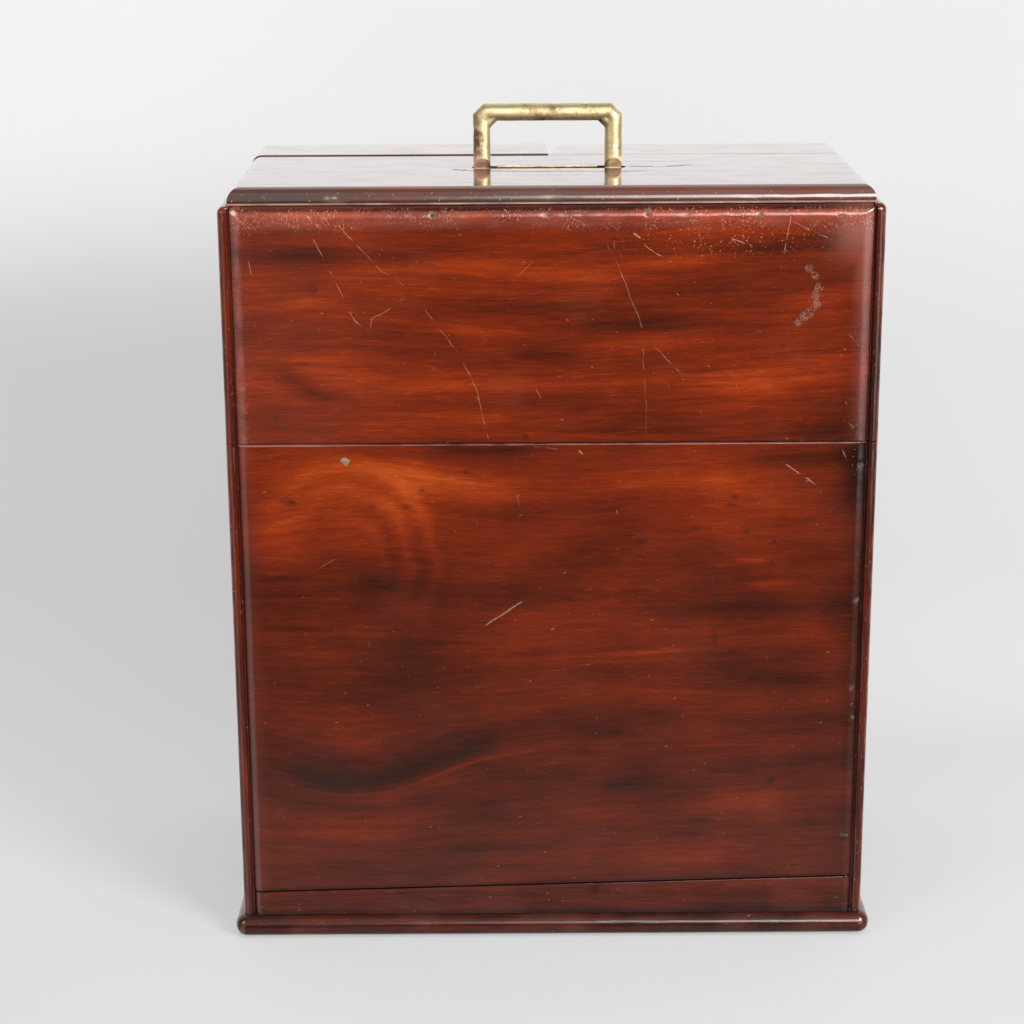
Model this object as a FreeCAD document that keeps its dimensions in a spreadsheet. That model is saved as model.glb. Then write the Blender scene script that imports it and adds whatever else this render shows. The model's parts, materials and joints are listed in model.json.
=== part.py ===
import FreeCAD, Part
import Sketcher
import os

# A tall mahogany stationery chest with a deep hinged lid and a brass carrying
# handle that slides down into a slot in the lid's top.
# Row frame: millimetres, +Z up, the front faces -Y, +X is the viewer's right.
# The origin is on the ground under the middle of the base.

V = FreeCAD.Vector
doc = FreeCAD.newDocument("StationeryChest")
sheet = doc.addObject("Spreadsheet::Sheet", "dims")


class Q:
    """A size that carries both its number and its spreadsheet formula."""

    def __init__(self, v, e):
        self.v = float(v)
        self.e = e

    def __add__(self, o):
        o = q(o)
        return Q(self.v + o.v, "(%s + %s)" % (self.e, o.e))

    __radd__ = __add__

    def __sub__(self, o):
        o = q(o)
        return Q(self.v - o.v, "(%s - %s)" % (self.e, o.e))

    def __rsub__(self, o):
        return q(o) - self

    def __mul__(self, o):
        o = q(o)
        return Q(self.v * o.v, "(%s * %s)" % (self.e, o.e))

    __rmul__ = __mul__

    def __truediv__(self, o):
        o = q(o)
        return Q(self.v / o.v, "(%s / %s)" % (self.e, o.e))

    def __neg__(self):
        return Q(-self.v, "(0 - %s)" % self.e)


def q(x):
    if isinstance(x, Q):
        return x
    x = float(x)
    return Q(x, ("%.6f" % x) if x >= 0 else "(0 - %.6f)" % (-x))


# ---------------------------------------------------------------- dimensions
ROWS = [
    # overall case
    ("width", 440), ("deep", 234), ("seam_z", 362), ("seam_gap", 0.5), ("top_z", 534),
    # base board with its half-round edge
    ("base_thick", 16), ("base_out", 6), ("base_round", 7.4), ("base_corner", 8.5),
    # boards of the case
    ("side_thick", 14), ("side_lip", 8), ("board_thick", 12), ("panel_fit", 0.3),
    ("side_round", 4.6), ("panel_round", 5), ("quirk_x", 5.2), ("quirk_w", 0.8), ("quirk_d", 0.9),
    ("bead_round", 0.7), ("seam_arris", 1.2),
    # tapered joint between the front board and the strip under it
    ("taper_left", 34.2), ("taper_right", 44.4), ("taper_gap", 1.1), ("seam_drop", 0.5),
    # top of the lid: a fillet below an ovolo, and a board joint near the rear
    ("top_thick", 11), ("top_inset", 5.5), ("top_fillet", 2.6), ("top_step", 0.9), ("ovolo", 8),
    ("top_joint_y", 46.5), ("joint_gap", 0.7), ("notch_left", -1), ("notch_right", 10.2),
    ("notch_tip", 0.9), ("board_lift", 0.75),
    # hinges and the bevel at the rear of the seam
    ("hinge_y", 113.5), ("knuckle_r", 2.9), ("scoop_r", 3.2), ("pin_r", 1.5), ("pin_fit", 0.06),
    ("leaf_thick", 1.8), ("leaf_inner", 98.6), ("leaf_len", 64), ("hinge_x", 130),
    ("knuckle_gap", 0.3), ("bevel_tan", 1.0913), ("rail_thick", 8), ("rail_high", 18),
    ("hinge_screw_y", 101.6), ("hinge_screw_x", 22), ("hinge_screw_r", 1.5),
    ("hinge_screw_head", 3.1), ("hinge_screw_len", 14),
    # carrying handle
    ("handle_x", -1.2), ("handle_y", -16.7), ("handle_wide", 102.8), ("rod_r", 6),
    ("grip_top", 578), ("cant", 3.8), ("gusset_r", 5), ("gusset_k", 9.6), ("foot_cut_z", 541),
    ("foot_cut_deep", 7.5), ("slot_wide", 13), ("slot_left", 53.7), ("slot_right", 53.1),
    ("trough_left", -36.0), ("trough_right", 33.6), ("trough_wall", 1), ("trough_deep", 12.6),
    ("lip_wide", 3.2), ("lip_thick", 0.8), ("block_len", 152), ("block_wide", 36),
    ("block_high", 24), ("bore_r", 6.3), ("stop_gap", 0.3), ("stop_thick", 4), ("stop_wide", 15),
    ("stud_r", 3), ("nut_half", 5), ("nut_thick", 4), ("block_screw_x", 64), ("block_screw_y", 12),
    # letter rack
    ("cheek_thick", 6), ("rack_front", -18), ("rack_rear", 96.5), ("part_thick", 6), ("house", 2),
    ("part_b", 20), ("part_c", 58), ("rack_low", 370), ("rack_mid", 405), ("rack_high", 440),
    ("cheek_up", 4), ("raised_floor", 200), ("thin", 5),
    # lift-out tray
    ("tray_half", 204.5), ("tray_front_y", -103.5), ("tray_rear_y", -20.5), ("tray_low", 316),
    ("tray_top", 360), ("tray_wall", 5), ("bearer_wide", 8), ("bearer_high", 12),
    ("ink_inner", 151.5), ("tray_div", 4), ("ink_cross", -55), ("trough_front_y", -62),
    ("pen_top", 345), ("pen_r", 14.5),
    # ink bottles
    ("bottle_x", 175.5), ("bottle_y", -76.7), ("bottle_half", 18.5), ("bottle_high", 30),
    ("bottle_wall", 3), ("neck_r", 9), ("neck_bore", 6.5), ("neck_high", 7), ("cap_r", 11),
    ("cap_high", 9),
    # side hooks
    ("hook_y", 12), ("hook_z", 330), ("catch_z", 392), ("hook_thick", 2), ("hook_off", 1),
    ("hook_eye_r", 6.5), ("hook_arm", 7), ("hook_tip_r", 7), ("hook_pin_r", 2), ("hook_pin_fit", 0.06),
    ("catch_fit", 0.35), ("hook_head_r", 4.6), ("hook_head_thick", 1.6), ("hook_screw_len", 11),
    # fasteners
    ("brad_r", 1.3), ("brad_len", 20), ("base_screw_r", 2), ("base_screw_head", 4),
    ("base_screw_len", 36), ("batten", 12),
]
P = {}
for i, (name, val) in enumerate(ROWS):
    sheet.set("A%d" % (i + 1), name)
    sheet.set("B%d" % (i + 1), str(val))
    sheet.setAlias("B%d" % (i + 1), name)
    P[name] = Q(val, "dims.%s" % name)
doc.recompute()


class D:
    pass


d = D()
for name in P:
    setattr(d, name, P[name])

# sizes that follow from the sheet
hw = d.width / 2            # outer half width
hd = d.deep / 2             # outer half depth
inx = hw - d.side_thick     # inside half width
iny = hd - d.board_thick    # inside half depth
lid_z = d.seam_z + d.seam_gap
box_top = d.top_z - d.top_thick
axis_z = d.seam_z + d.seam_gap / 2
panx = hw - d.side_lip - d.panel_fit    # half width of the front and back panels


# ------------------------------------------------------------------- helpers
def bind(obj, prop, val):
    obj.setExpression(prop, q(val).e)


def plane_of(body, role):
    for f in body.Origin.OriginFeatures:
        if f.Role == role:
            return f
    raise RuntimeError(role)


COUNT = [0]


def nm(stem):
    COUNT[0] += 1
    return "%s_%d" % (stem, COUNT[0])


def body_of(label):
    b = doc.addObject("PartDesign::Body", nm("Body"))
    b.Label = label
    return b


def sketch_on(body, plane, at):
    """A sketch on one of the body's own planes, moved along that plane's global axis to at."""
    sk = body.newObject("Sketcher::SketchObject", nm("Sketch"))
    sk.AttachmentSupport = [(plane_of(body, plane), "")]
    sk.MapMode = "FlatFace"
    off = -q(at) if plane == "XZ_Plane" else q(at)
    sk.AttachmentOffset = FreeCAD.Placement(V(0, 0, off.v), FreeCAD.Rotation())
    sk.setExpression("AttachmentOffset.Base.z", off.e)
    return sk


def pin_point(sk, geo, pos, x, y):
    for kind, val in (("DistanceX", q(x)), ("DistanceY", q(y))):
        c = sk.addConstraint(Sketcher.Constraint(kind, geo, pos, val.v))
        cn = nm("c")
        sk.renameConstraint(c, cn)
        sk.setExpression("Constraints.%s" % cn, val.e)


def draw_poly(sk, pts):
    n = len(pts)
    base = sk.GeometryCount
    for i in range(n):
        a, b = pts[i], pts[(i + 1) % n]
        sk.addGeometry(Part.LineSegment(V(q(a[0]).v, q(a[1]).v, 0), V(q(b[0]).v, q(b[1]).v, 0)), False)
    for i in range(n):
        sk.addConstraint(Sketcher.Constraint("Coincident", base + i, 2, base + (i + 1) % n, 1))
    for i in range(n):
        pin_point(sk, base + i, 1, pts[i][0], pts[i][1])


def draw_circle(sk, x, y, r):
    g = sk.addGeometry(Part.Circle(V(q(x).v, q(y).v, 0), V(0, 0, 1), q(r).v), False)
    pin_point(sk, g, 3, x, y)
    c = sk.addConstraint(Sketcher.Constraint("Radius", g, q(r).v))
    cn = nm("c")
    sk.renameConstraint(c, cn)
    sk.setExpression("Constraints.%s" % cn, q(r).e)


def pad(body, plane, draw, a, b):
    """Material between the coordinates a and b along the plane's axis."""
    a, b = q(a), q(b)
    sk = sketch_on(body, plane, b if plane == "XZ_Plane" else a)
    draw(sk)
    p = body.newObject("PartDesign::Pad", nm("Pad"))
    p.Profile = sk
    p.Length = abs(b.v - a.v)
    bind(p, "Length", b - a)
    doc.recompute()
    return p


def pocket(body, plane, draw, a, b):
    """A cut between the coordinates a and b along the plane's axis."""
    a, b = q(a), q(b)
    before = body.Shape.Volume
    sk = sketch_on(body, plane, a if plane == "XZ_Plane" else b)
    draw(sk)
    p = body.newObject("PartDesign::Pocket", nm("Pocket"))
    p.Profile = sk
    p.Length = abs(b.v - a.v)
    bind(p, "Length", b - a)
    doc.recompute()
    if not body.Shape.Volume < before - 0.05:
        raise RuntimeError("a cut removed nothing from " + body.Label)
    return p


def poly(*pts):
    return lambda sk: draw_poly(sk, pts)


def rect(x0, x1, y0, y1):
    return poly((x0, y0), (x1, y0), (x1, y1), (x0, y1))


def circles(*cs):
    def go(sk):
        for c in cs:
            draw_circle(sk, *c)
    return go


def pick(shape, test):
    out = []
    for i, e in enumerate(shape.Edges):
        vs = [v.Point for v in e.Vertexes]
        if len(vs) == 2 and test(e, vs[0], vs[1]):
            out.append("Edge%d" % (i + 1))
    return out


def fillet(body, test, r):
    base = body.Tip
    names = pick(base.Shape, test)
    if not names:
        raise RuntimeError("no edge to round on " + body.Label)
    f = body.newObject("PartDesign::Fillet", nm("Fillet"))
    f.Base = (base, names)
    f.Radius = q(r).v
    bind(f, "Radius", r)
    doc.recompute()
    return f


def near(a, b):
    return abs(a - b) < 0.02


def upright(x, y):
    """Test for the vertical edge at x, y."""
    return lambda e, p, r: near(p.x, x) and near(r.x, x) and near(p.y, y) and near(r.y, y)


def level(z, **at):
    """Test for an edge at height z whose named coordinates all match."""
    def t(e, p, r):
        if not (near(p.z, z) and near(r.z, z)):
            return False
        return all(near(getattr(p, k), v) and near(getattr(r, k), v) for k, v in at.items())
    return t


def either(*tests):
    return lambda e, p, r: any(t(e, p, r) for t in tests)


def box(label, x0, x1, y0, y1, z0, z1):
    b = doc.addObject("Part::Box", nm("Box"))
    b.Label = label
    for prop, lo, hi in (("Length", x0, x1), ("Width", y0, y1), ("Height", z0, z1)):
        bind(b, prop, q(hi) - q(lo))
    for prop, lo in (("x", x0), ("y", y0), ("z", z0)):
        bind(b, "Placement.Base." + prop, lo)
    return b


TURN = {
    "+Z": FreeCAD.Rotation(), "-Z": FreeCAD.Rotation(V(1, 0, 0), 180),
    "+X": FreeCAD.Rotation(V(0, 1, 0), 90), "-X": FreeCAD.Rotation(V(0, 1, 0), -90),
    "+Y": FreeCAD.Rotation(V(1, 0, 0), -90), "-Y": FreeCAD.Rotation(V(1, 0, 0), 90),
}


def place(o, x, y, z, way):
    o.Placement = FreeCAD.Placement(V(q(x).v, q(y).v, q(z).v), TURN[way])
    for k, val in (("x", x), ("y", y), ("z", z)):
        bind(o, "Placement.Base." + k, val)


def rod(label, x, y, z, way, r, length):
    c = doc.addObject("Part::Cylinder", nm("Rod"))
    c.Label = label
    bind(c, "Radius", r)
    bind(c, "Height", length)
    place(c, x, y, z, way)
    return c


def cone(label, x, y, z, way, r_a, r_b, length):
    c = doc.addObject("Part::Cone", nm("Cone"))
    c.Label = label
    bind(c, "Radius1", r_a)
    bind(c, "Radius2", r_b)
    bind(c, "Height", length)
    place(c, x, y, z, way)
    return c


def fuse(label, parts):
    f = doc.addObject("Part::MultiFuse", nm("Fuse"))
    f.Label = label
    f.Shapes = parts
    return f


def cut(label, base, tool):
    c = doc.addObject("Part::Cut", nm("Cut"))
    c.Label = label
    c.Base = base
    c.Tool = tool
    return c


def common(label, base, tool):
    c = doc.addObject("Part::Common", nm("Common"))
    c.Label = label
    c.Base = base
    c.Tool = tool
    return c


def group(label, parts):
    g = doc.addObject("Part::Compound", nm("Group"))
    g.Label = label
    g.Links = parts
    return g


def wood_screw(label, x, y, z, way, head_r, r, head, length):
    """Countersunk screw: its flat head at x, y, z and its shank going the given way."""
    k = cone(nm("csk"), x, y, z, way, head_r, r, head)
    s = rod(nm("shank"), x, y, z, way, r, length)
    return fuse(label, [k, s])


PARTS = []


def part(obj, name):
    obj.Label = name
    PARTS.append(obj)
    return obj


# ---------------------------------------------------------------- base board
base = body_of("base_blank")
bx, by = hw + d.base_out, hd + d.base_out
pad(base, "XY_Plane", rect(-bx, bx, -by, by), 0, d.base_thick)
fillet(base, either(upright(bx.v, by.v), upright(-bx.v, by.v), upright(bx.v, -by.v), upright(-bx.v, -by.v)),
       d.base_corner)
fillet(base, lambda e, p, r: near(p.z, r.z) and (near(p.z, 0) or near(p.z, d.base_thick.v)), d.base_round)

base_xy = [(hw - 7, -70), (hw - 7, 0), (hw - 7, 70), (-hw + 7, -70), (-hw + 7, 0), (-hw + 7, 70)]
base_screws = [wood_screw(nm("base_screw"), x, y, 0, "+Z", d.base_screw_head, d.base_screw_r, 3, d.base_screw_len)
               for x, y in base_xy]
for sx in (-1, 1):
    for sy in (-1, 1):
        base_screws.append(wood_screw(nm("base_screw"), sx * 105, sy * (hd - 6), 0, "+Z",
                                      d.base_screw_head, d.base_screw_r, 3, 30))
base_screw_set = group("base_screws", base_screws)

# ------------------------------------------------------------- side boards
# Each side board has a rebate at the front and at the rear that takes the panels,
# a rounded outer arris, and beside it a fine sunk line and a bead.


def side_section(s):
    """Plan outline of a side board; s is 1 for the right side and -1 for the left."""
    lip = hw - d.side_lip
    pts = [(inx, -iny), (lip, -iny), (lip, -hd), (hw, -hd), (hw, hd), (lip, hd), (lip, iny), (inx, iny)]
    if s < 0:
        pts = [(-x, y) for x, y in reversed(pts)]
    return pts


def side_board(label, s, z0, z1, lid):
    b = body_of(label)
    pad(b, "XY_Plane", poly(*side_section(s)), z0, z1)
    x = s * hw.v
    tests = [upright(x, -hd.v)]
    if lid:
        tests += [level(z1.v, x=x), level(z1.v, y=-hd.v), level(z1.v, y=hd.v)]
    fillet(b, either(*tests), d.side_round)
    lipx = s * (hw - d.side_lip).v
    fillet(b, lambda e, p, r: near(p.x, lipx) and near(r.x, lipx) and abs(p.y - r.y) < 0.02
           and p.y < -iny.v - 5 and abs(p.z - r.z) > 50, d.bead_round)
    # the fine sunk line that sets off the bead
    qa, qb = hw - d.quirk_x - d.quirk_w, hw - d.quirk_x
    if s < 0:
        qa, qb = -qb, -qa
    pocket(b, "XY_Plane", rect(qa, qb, -hd - 1, -hd + d.quirk_d), z0 - 1, z1 + 1)
    # bevel at the rear of the seam, which lets the lid open and stops it
    a, c = (inx - 1, hw + 1) if s > 0 else (-hw - 1, -inx + 1)
    rear = hd + 1
    drop = (rear - d.hinge_y) * d.bevel_tan
    if lid:
        tri = poly((d.hinge_y, z0 - 0.001), (rear, z0 - 0.001), (rear, z0 + drop))
    else:
        tri = poly((d.hinge_y, z1 + 0.001), (rear, z1 - drop), (rear, z1 + 0.001))
    pocket(b, "YZ_Plane", tri, a, c)
    return b


case_left = side_board("case_left_blank", -1, d.base_thick, d.seam_z, False)
case_right = side_board("case_right_blank", 1, d.base_thick, d.seam_z, False)
lid_left = side_board("lid_left_blank", -1, lid_z, box_top, True)
lid_right = side_board("lid_right_blank", 1, lid_z, box_top, True)

# ------------------------------------------------------------- front boards
front = body_of("case_front_blank")
pad(front, "XZ_Plane", poly((-panx, d.taper_left), (panx, d.taper_right), (panx, d.seam_z),
                            (-panx, d.seam_z - d.seam_drop)), -hd, -iny)
fillet(front, either(upright(panx.v, -hd.v), upright(-panx.v, -hd.v)), d.panel_round)
fillet(front, lambda e, p, r: near(p.y, -hd.v) and near(r.y, -hd.v) and min(p.z, r.z) > d.seam_z.v - 2
       and abs(p.x - r.x) > 50, d.seam_arris)

rail = body_of("case_rail_blank")
pad(rail, "XZ_Plane", poly((-panx, d.base_thick), (panx, d.base_thick), (panx, d.taper_right - d.taper_gap),
                           (-panx, d.taper_left - d.taper_gap)), -hd, -iny)
fillet(rail, either(upright(panx.v, -hd.v), upright(-panx.v, -hd.v)), d.panel_round)

lid_front = body_of("lid_front_blank")
pad(lid_front, "XZ_Plane", rect(-panx, panx, lid_z, box_top), -hd, -iny)
fillet(lid_front, either(upright(panx.v, -hd.v), upright(-panx.v, -hd.v), level(box_top.v, y=-hd.v)), d.panel_round)

# -------------------------------------------------------------- back boards
rear = hd + 1
drop = (rear - d.hinge_y) * d.bevel_tan
half = d.leaf_len / 2


def hinge_recess(b, low):
    """Leaf recesses and the round hollow for the knuckles, at both hinges."""
    for sx in (-1, 1):
        cx = sx * d.hinge_x
        if low:
            z0, z1 = d.seam_z - d.leaf_thick, d.seam_z + 0.2
        else:
            z0, z1 = lid_z - 0.2, lid_z + d.leaf_thick
        pocket(b, "YZ_Plane", rect(d.leaf_inner, d.hinge_y, z0, z1), cx - half - 0.3, cx + half + 0.3)
        if b.Label.find("rail") < 0:
            pocket(b, "YZ_Plane", circles((d.hinge_y, axis_z, d.scoop_r)), cx - half - 0.3, cx + half + 0.3)


back = body_of("case_back_blank")
pad(back, "XZ_Plane", rect(-panx, panx, d.base_thick, d.seam_z), iny, hd)
pocket(back, "YZ_Plane", poly((d.hinge_y, d.seam_z + 0.001), (rear, d.seam_z - drop), (rear, d.seam_z + 0.001)),
       -panx - 1, panx + 1)
hinge_recess(back, True)

lid_back = body_of("lid_back_blank")
pad(lid_back, "XZ_Plane", rect(-panx, panx, lid_z, box_top), iny, hd)
fillet(lid_back, level(box_top.v, y=hd.v), d.side_round)
pocket(lid_back, "YZ_Plane", poly((d.hinge_y, lid_z - 0.001), (rear, lid_z - 0.001), (rear, lid_z + drop)),
       -panx - 1, panx + 1)
hinge_recess(lid_back, False)

case_hrail = body_of("case_hinge_rail_blank")
pad(case_hrail, "YZ_Plane", rect(iny - d.rail_thick, iny, d.seam_z - d.rail_high, d.seam_z), -inx, inx)
hinge_recess(case_hrail, True)
lid_hrail = body_of("lid_hinge_rail_blank")
pad(lid_hrail, "YZ_Plane", rect(iny - d.rail_thick, iny, lid_z, lid_z + d.rail_high), -inx, inx)
hinge_recess(lid_hrail, False)

# ------------------------------------------------------------------- hinges
# Each butt hinge has five knuckles: three on the lower leaf and two on the upper.
step = (d.leaf_len + d.knuckle_gap) / 5
klen = step - d.knuckle_gap


def leaf(label, cx, low):
    b = body_of(label)
    z0, z1 = (d.seam_z - d.leaf_thick, d.seam_z) if low else (lid_z, lid_z + d.leaf_thick)
    pad(b, "YZ_Plane", rect(d.leaf_inner, d.hinge_y - d.scoop_r, z0, z1), cx - half, cx + half)
    for k in range(5):
        if (k % 2 == 0) != low:
            continue
        x0 = cx - half + k * step
        pad(b, "YZ_Plane", rect(d.hinge_y - d.scoop_r - 0.5, d.hinge_y, z0, z1), x0, x0 + klen)
        pad(b, "YZ_Plane", circles((d.hinge_y, axis_z, d.knuckle_r)), x0, x0 + klen)
    bore = d.pin_r if low else d.pin_r + d.pin_fit
    pocket(b, "YZ_Plane", circles((d.hinge_y, axis_z, bore)), cx - half - 1, cx + half + 1)
    return b


low_leaves, up_leaves, low_screws, up_screws, pins = [], [], [], [], []
for sx in (-1, 1):
    cx = sx * d.hinge_x
    low_leaves.append(leaf(nm("leaf"), cx, True))
    up_leaves.append(leaf(nm("leaf"), cx, False))
    pins.append(rod(nm("pin"), cx - half, d.hinge_y, axis_z, "+X", d.pin_r, d.leaf_len))
    for k in (-1, 0, 1):
        low_screws.append(wood_screw(nm("screw"), cx + k * d.hinge_screw_x, d.hinge_screw_y, d.seam_z, "-Z",
                                     d.hinge_screw_head, d.hinge_screw_r, 1.6, d.hinge_screw_len))
        up_screws.append(wood_screw(nm("screw"), cx + k * d.hinge_screw_x, d.hinge_screw_y, lid_z, "+Z",
                                    d.hinge_screw_head, d.hinge_screw_r, 1.6, d.hinge_screw_len))
low_screw_set = group("hinge_screws_lower", low_screws)
up_screw_set = group("hinge_screws_upper", up_screws)
low_leaf_set = cut("hinge_leaves_lower", group(nm("leaves"), low_leaves), low_screw_set)
up_leaf_set = cut("hinge_leaves_upper", group(nm("leaves"), up_leaves), up_screw_set)
pin_set = group("hinge_pins", pins)

# --------------------------------------------------------------- side hooks
# A flat brass hook turns on a shouldered screw on each side of the case. It hangs
# down when free, and turned up through half a circle it takes the stud on the lid.
hooks, hook_screws, catch_studs = {}, [], []
for s, word in ((-1, "left"), (1, "right")):
    x_in = hw + d.hook_off
    x_out = x_in + d.hook_thick
    a, c = (x_in, x_out) if s > 0 else (-x_out, -x_in)
    reach = d.catch_z - d.hook_z
    hk = body_of("hook_" + word)
    pad(hk, "YZ_Plane", circles((d.hook_y, d.hook_z, d.hook_eye_r)), a, c)
    ha = d.hook_arm / 2
    pad(hk, "YZ_Plane", poly((d.hook_y - ha - 0.8, d.hook_z), (d.hook_y - ha + 0.9, d.hook_z - reach),
                             (d.hook_y + ha - 0.9, d.hook_z - reach), (d.hook_y + ha + 0.8, d.hook_z)), a, c)
    pad(hk, "YZ_Plane", circles((d.hook_y, d.hook_z - reach, d.hook_tip_r)), a, c)
    pocket(hk, "YZ_Plane", circles((d.hook_y, d.hook_z, d.hook_pin_r + d.hook_pin_fit)), a, c)
    jaw = d.hook_pin_r + d.catch_fit
    pocket(hk, "YZ_Plane", circles((d.hook_y, d.hook_z - reach, jaw)), a, c)
    pocket(hk, "YZ_Plane", rect(d.hook_y - d.hook_tip_r - 1, d.hook_y, d.hook_z - reach - jaw,
                                d.hook_z - reach + jaw), a, c)
    hooks[s] = hk
    way, back_way = ("+X", "-X") if s > 0 else ("-X", "+X")
    face = s * hw
    for z, store in ((d.hook_z, hook_screws), (d.catch_z, catch_studs)):
        shank = rod(nm("shank"), face, d.hook_y, z, back_way, d.hook_pin_r, d.hook_screw_len)
        waist = rod(nm("waist"), face, d.hook_y, z, way, d.hook_pin_r, d.hook_off + d.hook_thick + 0.6)
        boss = rod(nm("boss"), face, d.hook_y, z, way, d.hook_pin_r + 2.4, d.hook_off - 0.2)
        hx = s * (hw + d.hook_off + d.hook_thick + 0.3)
        head = cone(nm("head"), hx, d.hook_y, z, way, d.hook_head_r, d.hook_head_r - 1.4, d.hook_head_thick)
        store.append(fuse(nm("hook_screw"), [shank, waist, boss, head]))
hook_screw_set = group("hook_pivot_screws", hook_screws)
catch_stud_set = group("hook_catch_studs", catch_studs)

# --------------------------------------------------------- brads and plugs
case_brads = group("front_brads", [rod(nm("brad"), x, -hd, z, "+Y", d.brad_r, d.brad_len)
                                   for x, z in ((209, 346), (209, 250), (207.6, 75), (209, 164))])
lid_brads = group("lid_brads", [rod(nm("brad"), x, -hd, z, "+Y", d.brad_r, d.brad_len)
                                for x, z in ((-78.4, 516.4), (63, 516.6), (136.4, 515.4), (190.2, 514.4))])
back_brads = group("back_brads", [rod(nm("brad"), s * 209, hd, z, "-Y", d.brad_r, d.brad_len)
                                  for s in (-1, 1) for z in (60, 190, 320)])

# ---------------------------------------------------------- carrying handle
leg_l = d.handle_x - d.handle_wide / 2 + d.rod_r
leg_r = d.handle_x + d.handle_wide / 2 - d.rod_r
grip_z = d.grip_top - d.rod_r
block_low = box_top - d.block_high
leg_low = block_low - d.stop_gap

handle = body_of("carrying_handle")


def line_sketch(body, pts, at):
    """An open polyline sketch in an XZ plane."""
    sk = sketch_on(body, "XZ_Plane", at)
    for i in range(len(pts) - 1):
        p, r = pts[i], pts[i + 1]
        sk.addGeometry(Part.LineSegment(V(q(p[0]).v, q(p[1]).v, 0), V(q(r[0]).v, q(r[1]).v, 0)), False)
    for i in range(len(pts) - 2):
        sk.addConstraint(Sketcher.Constraint("Coincident", i, 2, i + 1, 1))
    for i in range(len(pts) - 1):
        pin_point(sk, i, 1, pts[i][0], pts[i][1])
    pin_point(sk, len(pts) - 2, 2, pts[-1][0], pts[-1][1])
    return sk


spine = line_sketch(handle, [(leg_l, leg_low), (leg_l, grip_z - d.cant), (leg_l + d.cant, grip_z),
                             (leg_r - d.cant, grip_z), (leg_r, grip_z - d.cant), (leg_r, leg_low)], d.handle_y)
foot = sketch_on(handle, "XY_Plane", leg_low)
draw_circle(foot, leg_l, d.handle_y, d.rod_r)
doc.recompute()
bail = handle.newObject("PartDesign::AdditivePipe", "Bail")
bail.Profile = foot
bail.Spine = spine
bail.Transition = "Right corner"
doc.recompute()
# fillet pieces inside the two corners, as the casting has
for s, leg in ((1, leg_l), (-1, leg_r)):
    k = d.gusset_k
    gs = handle.newObject("PartDesign::AdditiveCylinder", nm("Gusset"))
    gs.AttachmentSupport = [(plane_of(handle, "XY_Plane"), "")]
    gs.MapMode = "FlatFace"
    bind(gs, "Radius", d.gusset_r)
    bind(gs, "Height", k * 1.414214)
    gs.AttachmentOffset = FreeCAD.Placement(V(leg.v, d.handle_y.v, (grip_z - k).v),
                                            FreeCAD.Rotation(V(0, 1, 0), 45 * s))
    bind(gs, "AttachmentOffset.Base.x", leg)
    bind(gs, "AttachmentOffset.Base.y", d.handle_y)
    bind(gs, "AttachmentOffset.Base.z", grip_z - k)
    doc.recompute()
# the foot of each leg is cut away at 45 degrees in front, and flat below that
fy = d.handle_y - d.rod_r
pocket(handle, "YZ_Plane", poly((fy - 1, d.foot_cut_z + 1), (fy + d.foot_cut_deep, d.foot_cut_z - d.foot_cut_deep),
                                (fy + d.foot_cut_deep, leg_low - 1), (fy - 1, leg_low - 1)),
       leg_l - d.rod_r - 1, leg_r + d.rod_r + 1)
# a threaded stud under each leg carries the stop bar and its nut
stud_y = d.handle_y + 2.2
stud_low = leg_low - d.stop_thick - d.nut_thick - 1
pad(handle, "XY_Plane", circles((leg_l, stud_y, d.stud_r), (leg_r, stud_y, d.stud_r)), stud_low, leg_low + 4)

stop_bar = body_of("handle_stop_bar")
bar_half = d.handle_wide / 2 + 1
bar_x0, bar_x1 = d.handle_x - bar_half, d.handle_x + bar_half
pad(stop_bar, "XY_Plane", rect(bar_x0, bar_x1, d.handle_y - d.stop_wide / 2, d.handle_y + d.stop_wide / 2),
    leg_low - d.stop_thick, leg_low)
fillet(stop_bar, lambda e, p, r: near(p.x, r.x) and near(p.y, r.y), 3)
pocket(stop_bar, "XY_Plane", circles((leg_l, stud_y, d.stud_r), (leg_r, stud_y, d.stud_r)),
       leg_low - d.stop_thick, leg_low)
nuts = []
for leg in (leg_l, leg_r):
    nb = body_of(nm("nut"))
    z1 = leg_low - d.stop_thick
    pad(nb, "XY_Plane", rect(leg - d.nut_half, leg + d.nut_half, stud_y - d.nut_half, stud_y + d.nut_half),
        z1 - d.nut_thick, z1)
    pocket(nb, "XY_Plane", circles((leg, stud_y, d.stud_r)), z1 - d.nut_thick, z1)
    nuts.append(nb)
nut_set = group("handle_nuts", nuts)

# brass channel between the legs, which the grip drops into
trough = body_of("handle_channel")
ty0, ty1 = d.handle_y - d.slot_wide / 2, d.handle_y + d.slot_wide / 2
tf = d.top_z - d.trough_deep
w = d.trough_wall
pad(trough, "YZ_Plane", poly((ty0 - w - d.lip_wide, d.top_z), (ty0 - w - d.lip_wide, d.top_z - d.lip_thick),
                             (ty0 - w, d.top_z - d.lip_thick), (ty0 - w, tf - w), (ty1 + w, tf - w),
                             (ty1 + w, d.top_z - d.lip_thick), (ty1 + w + d.lip_wide, d.top_z - d.lip_thick),
                             (ty1 + w + d.lip_wide, d.top_z), (ty1, d.top_z), (ty1, tf), (ty0, tf),
                             (ty0, d.top_z)), d.trough_left, d.trough_right)

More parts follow.
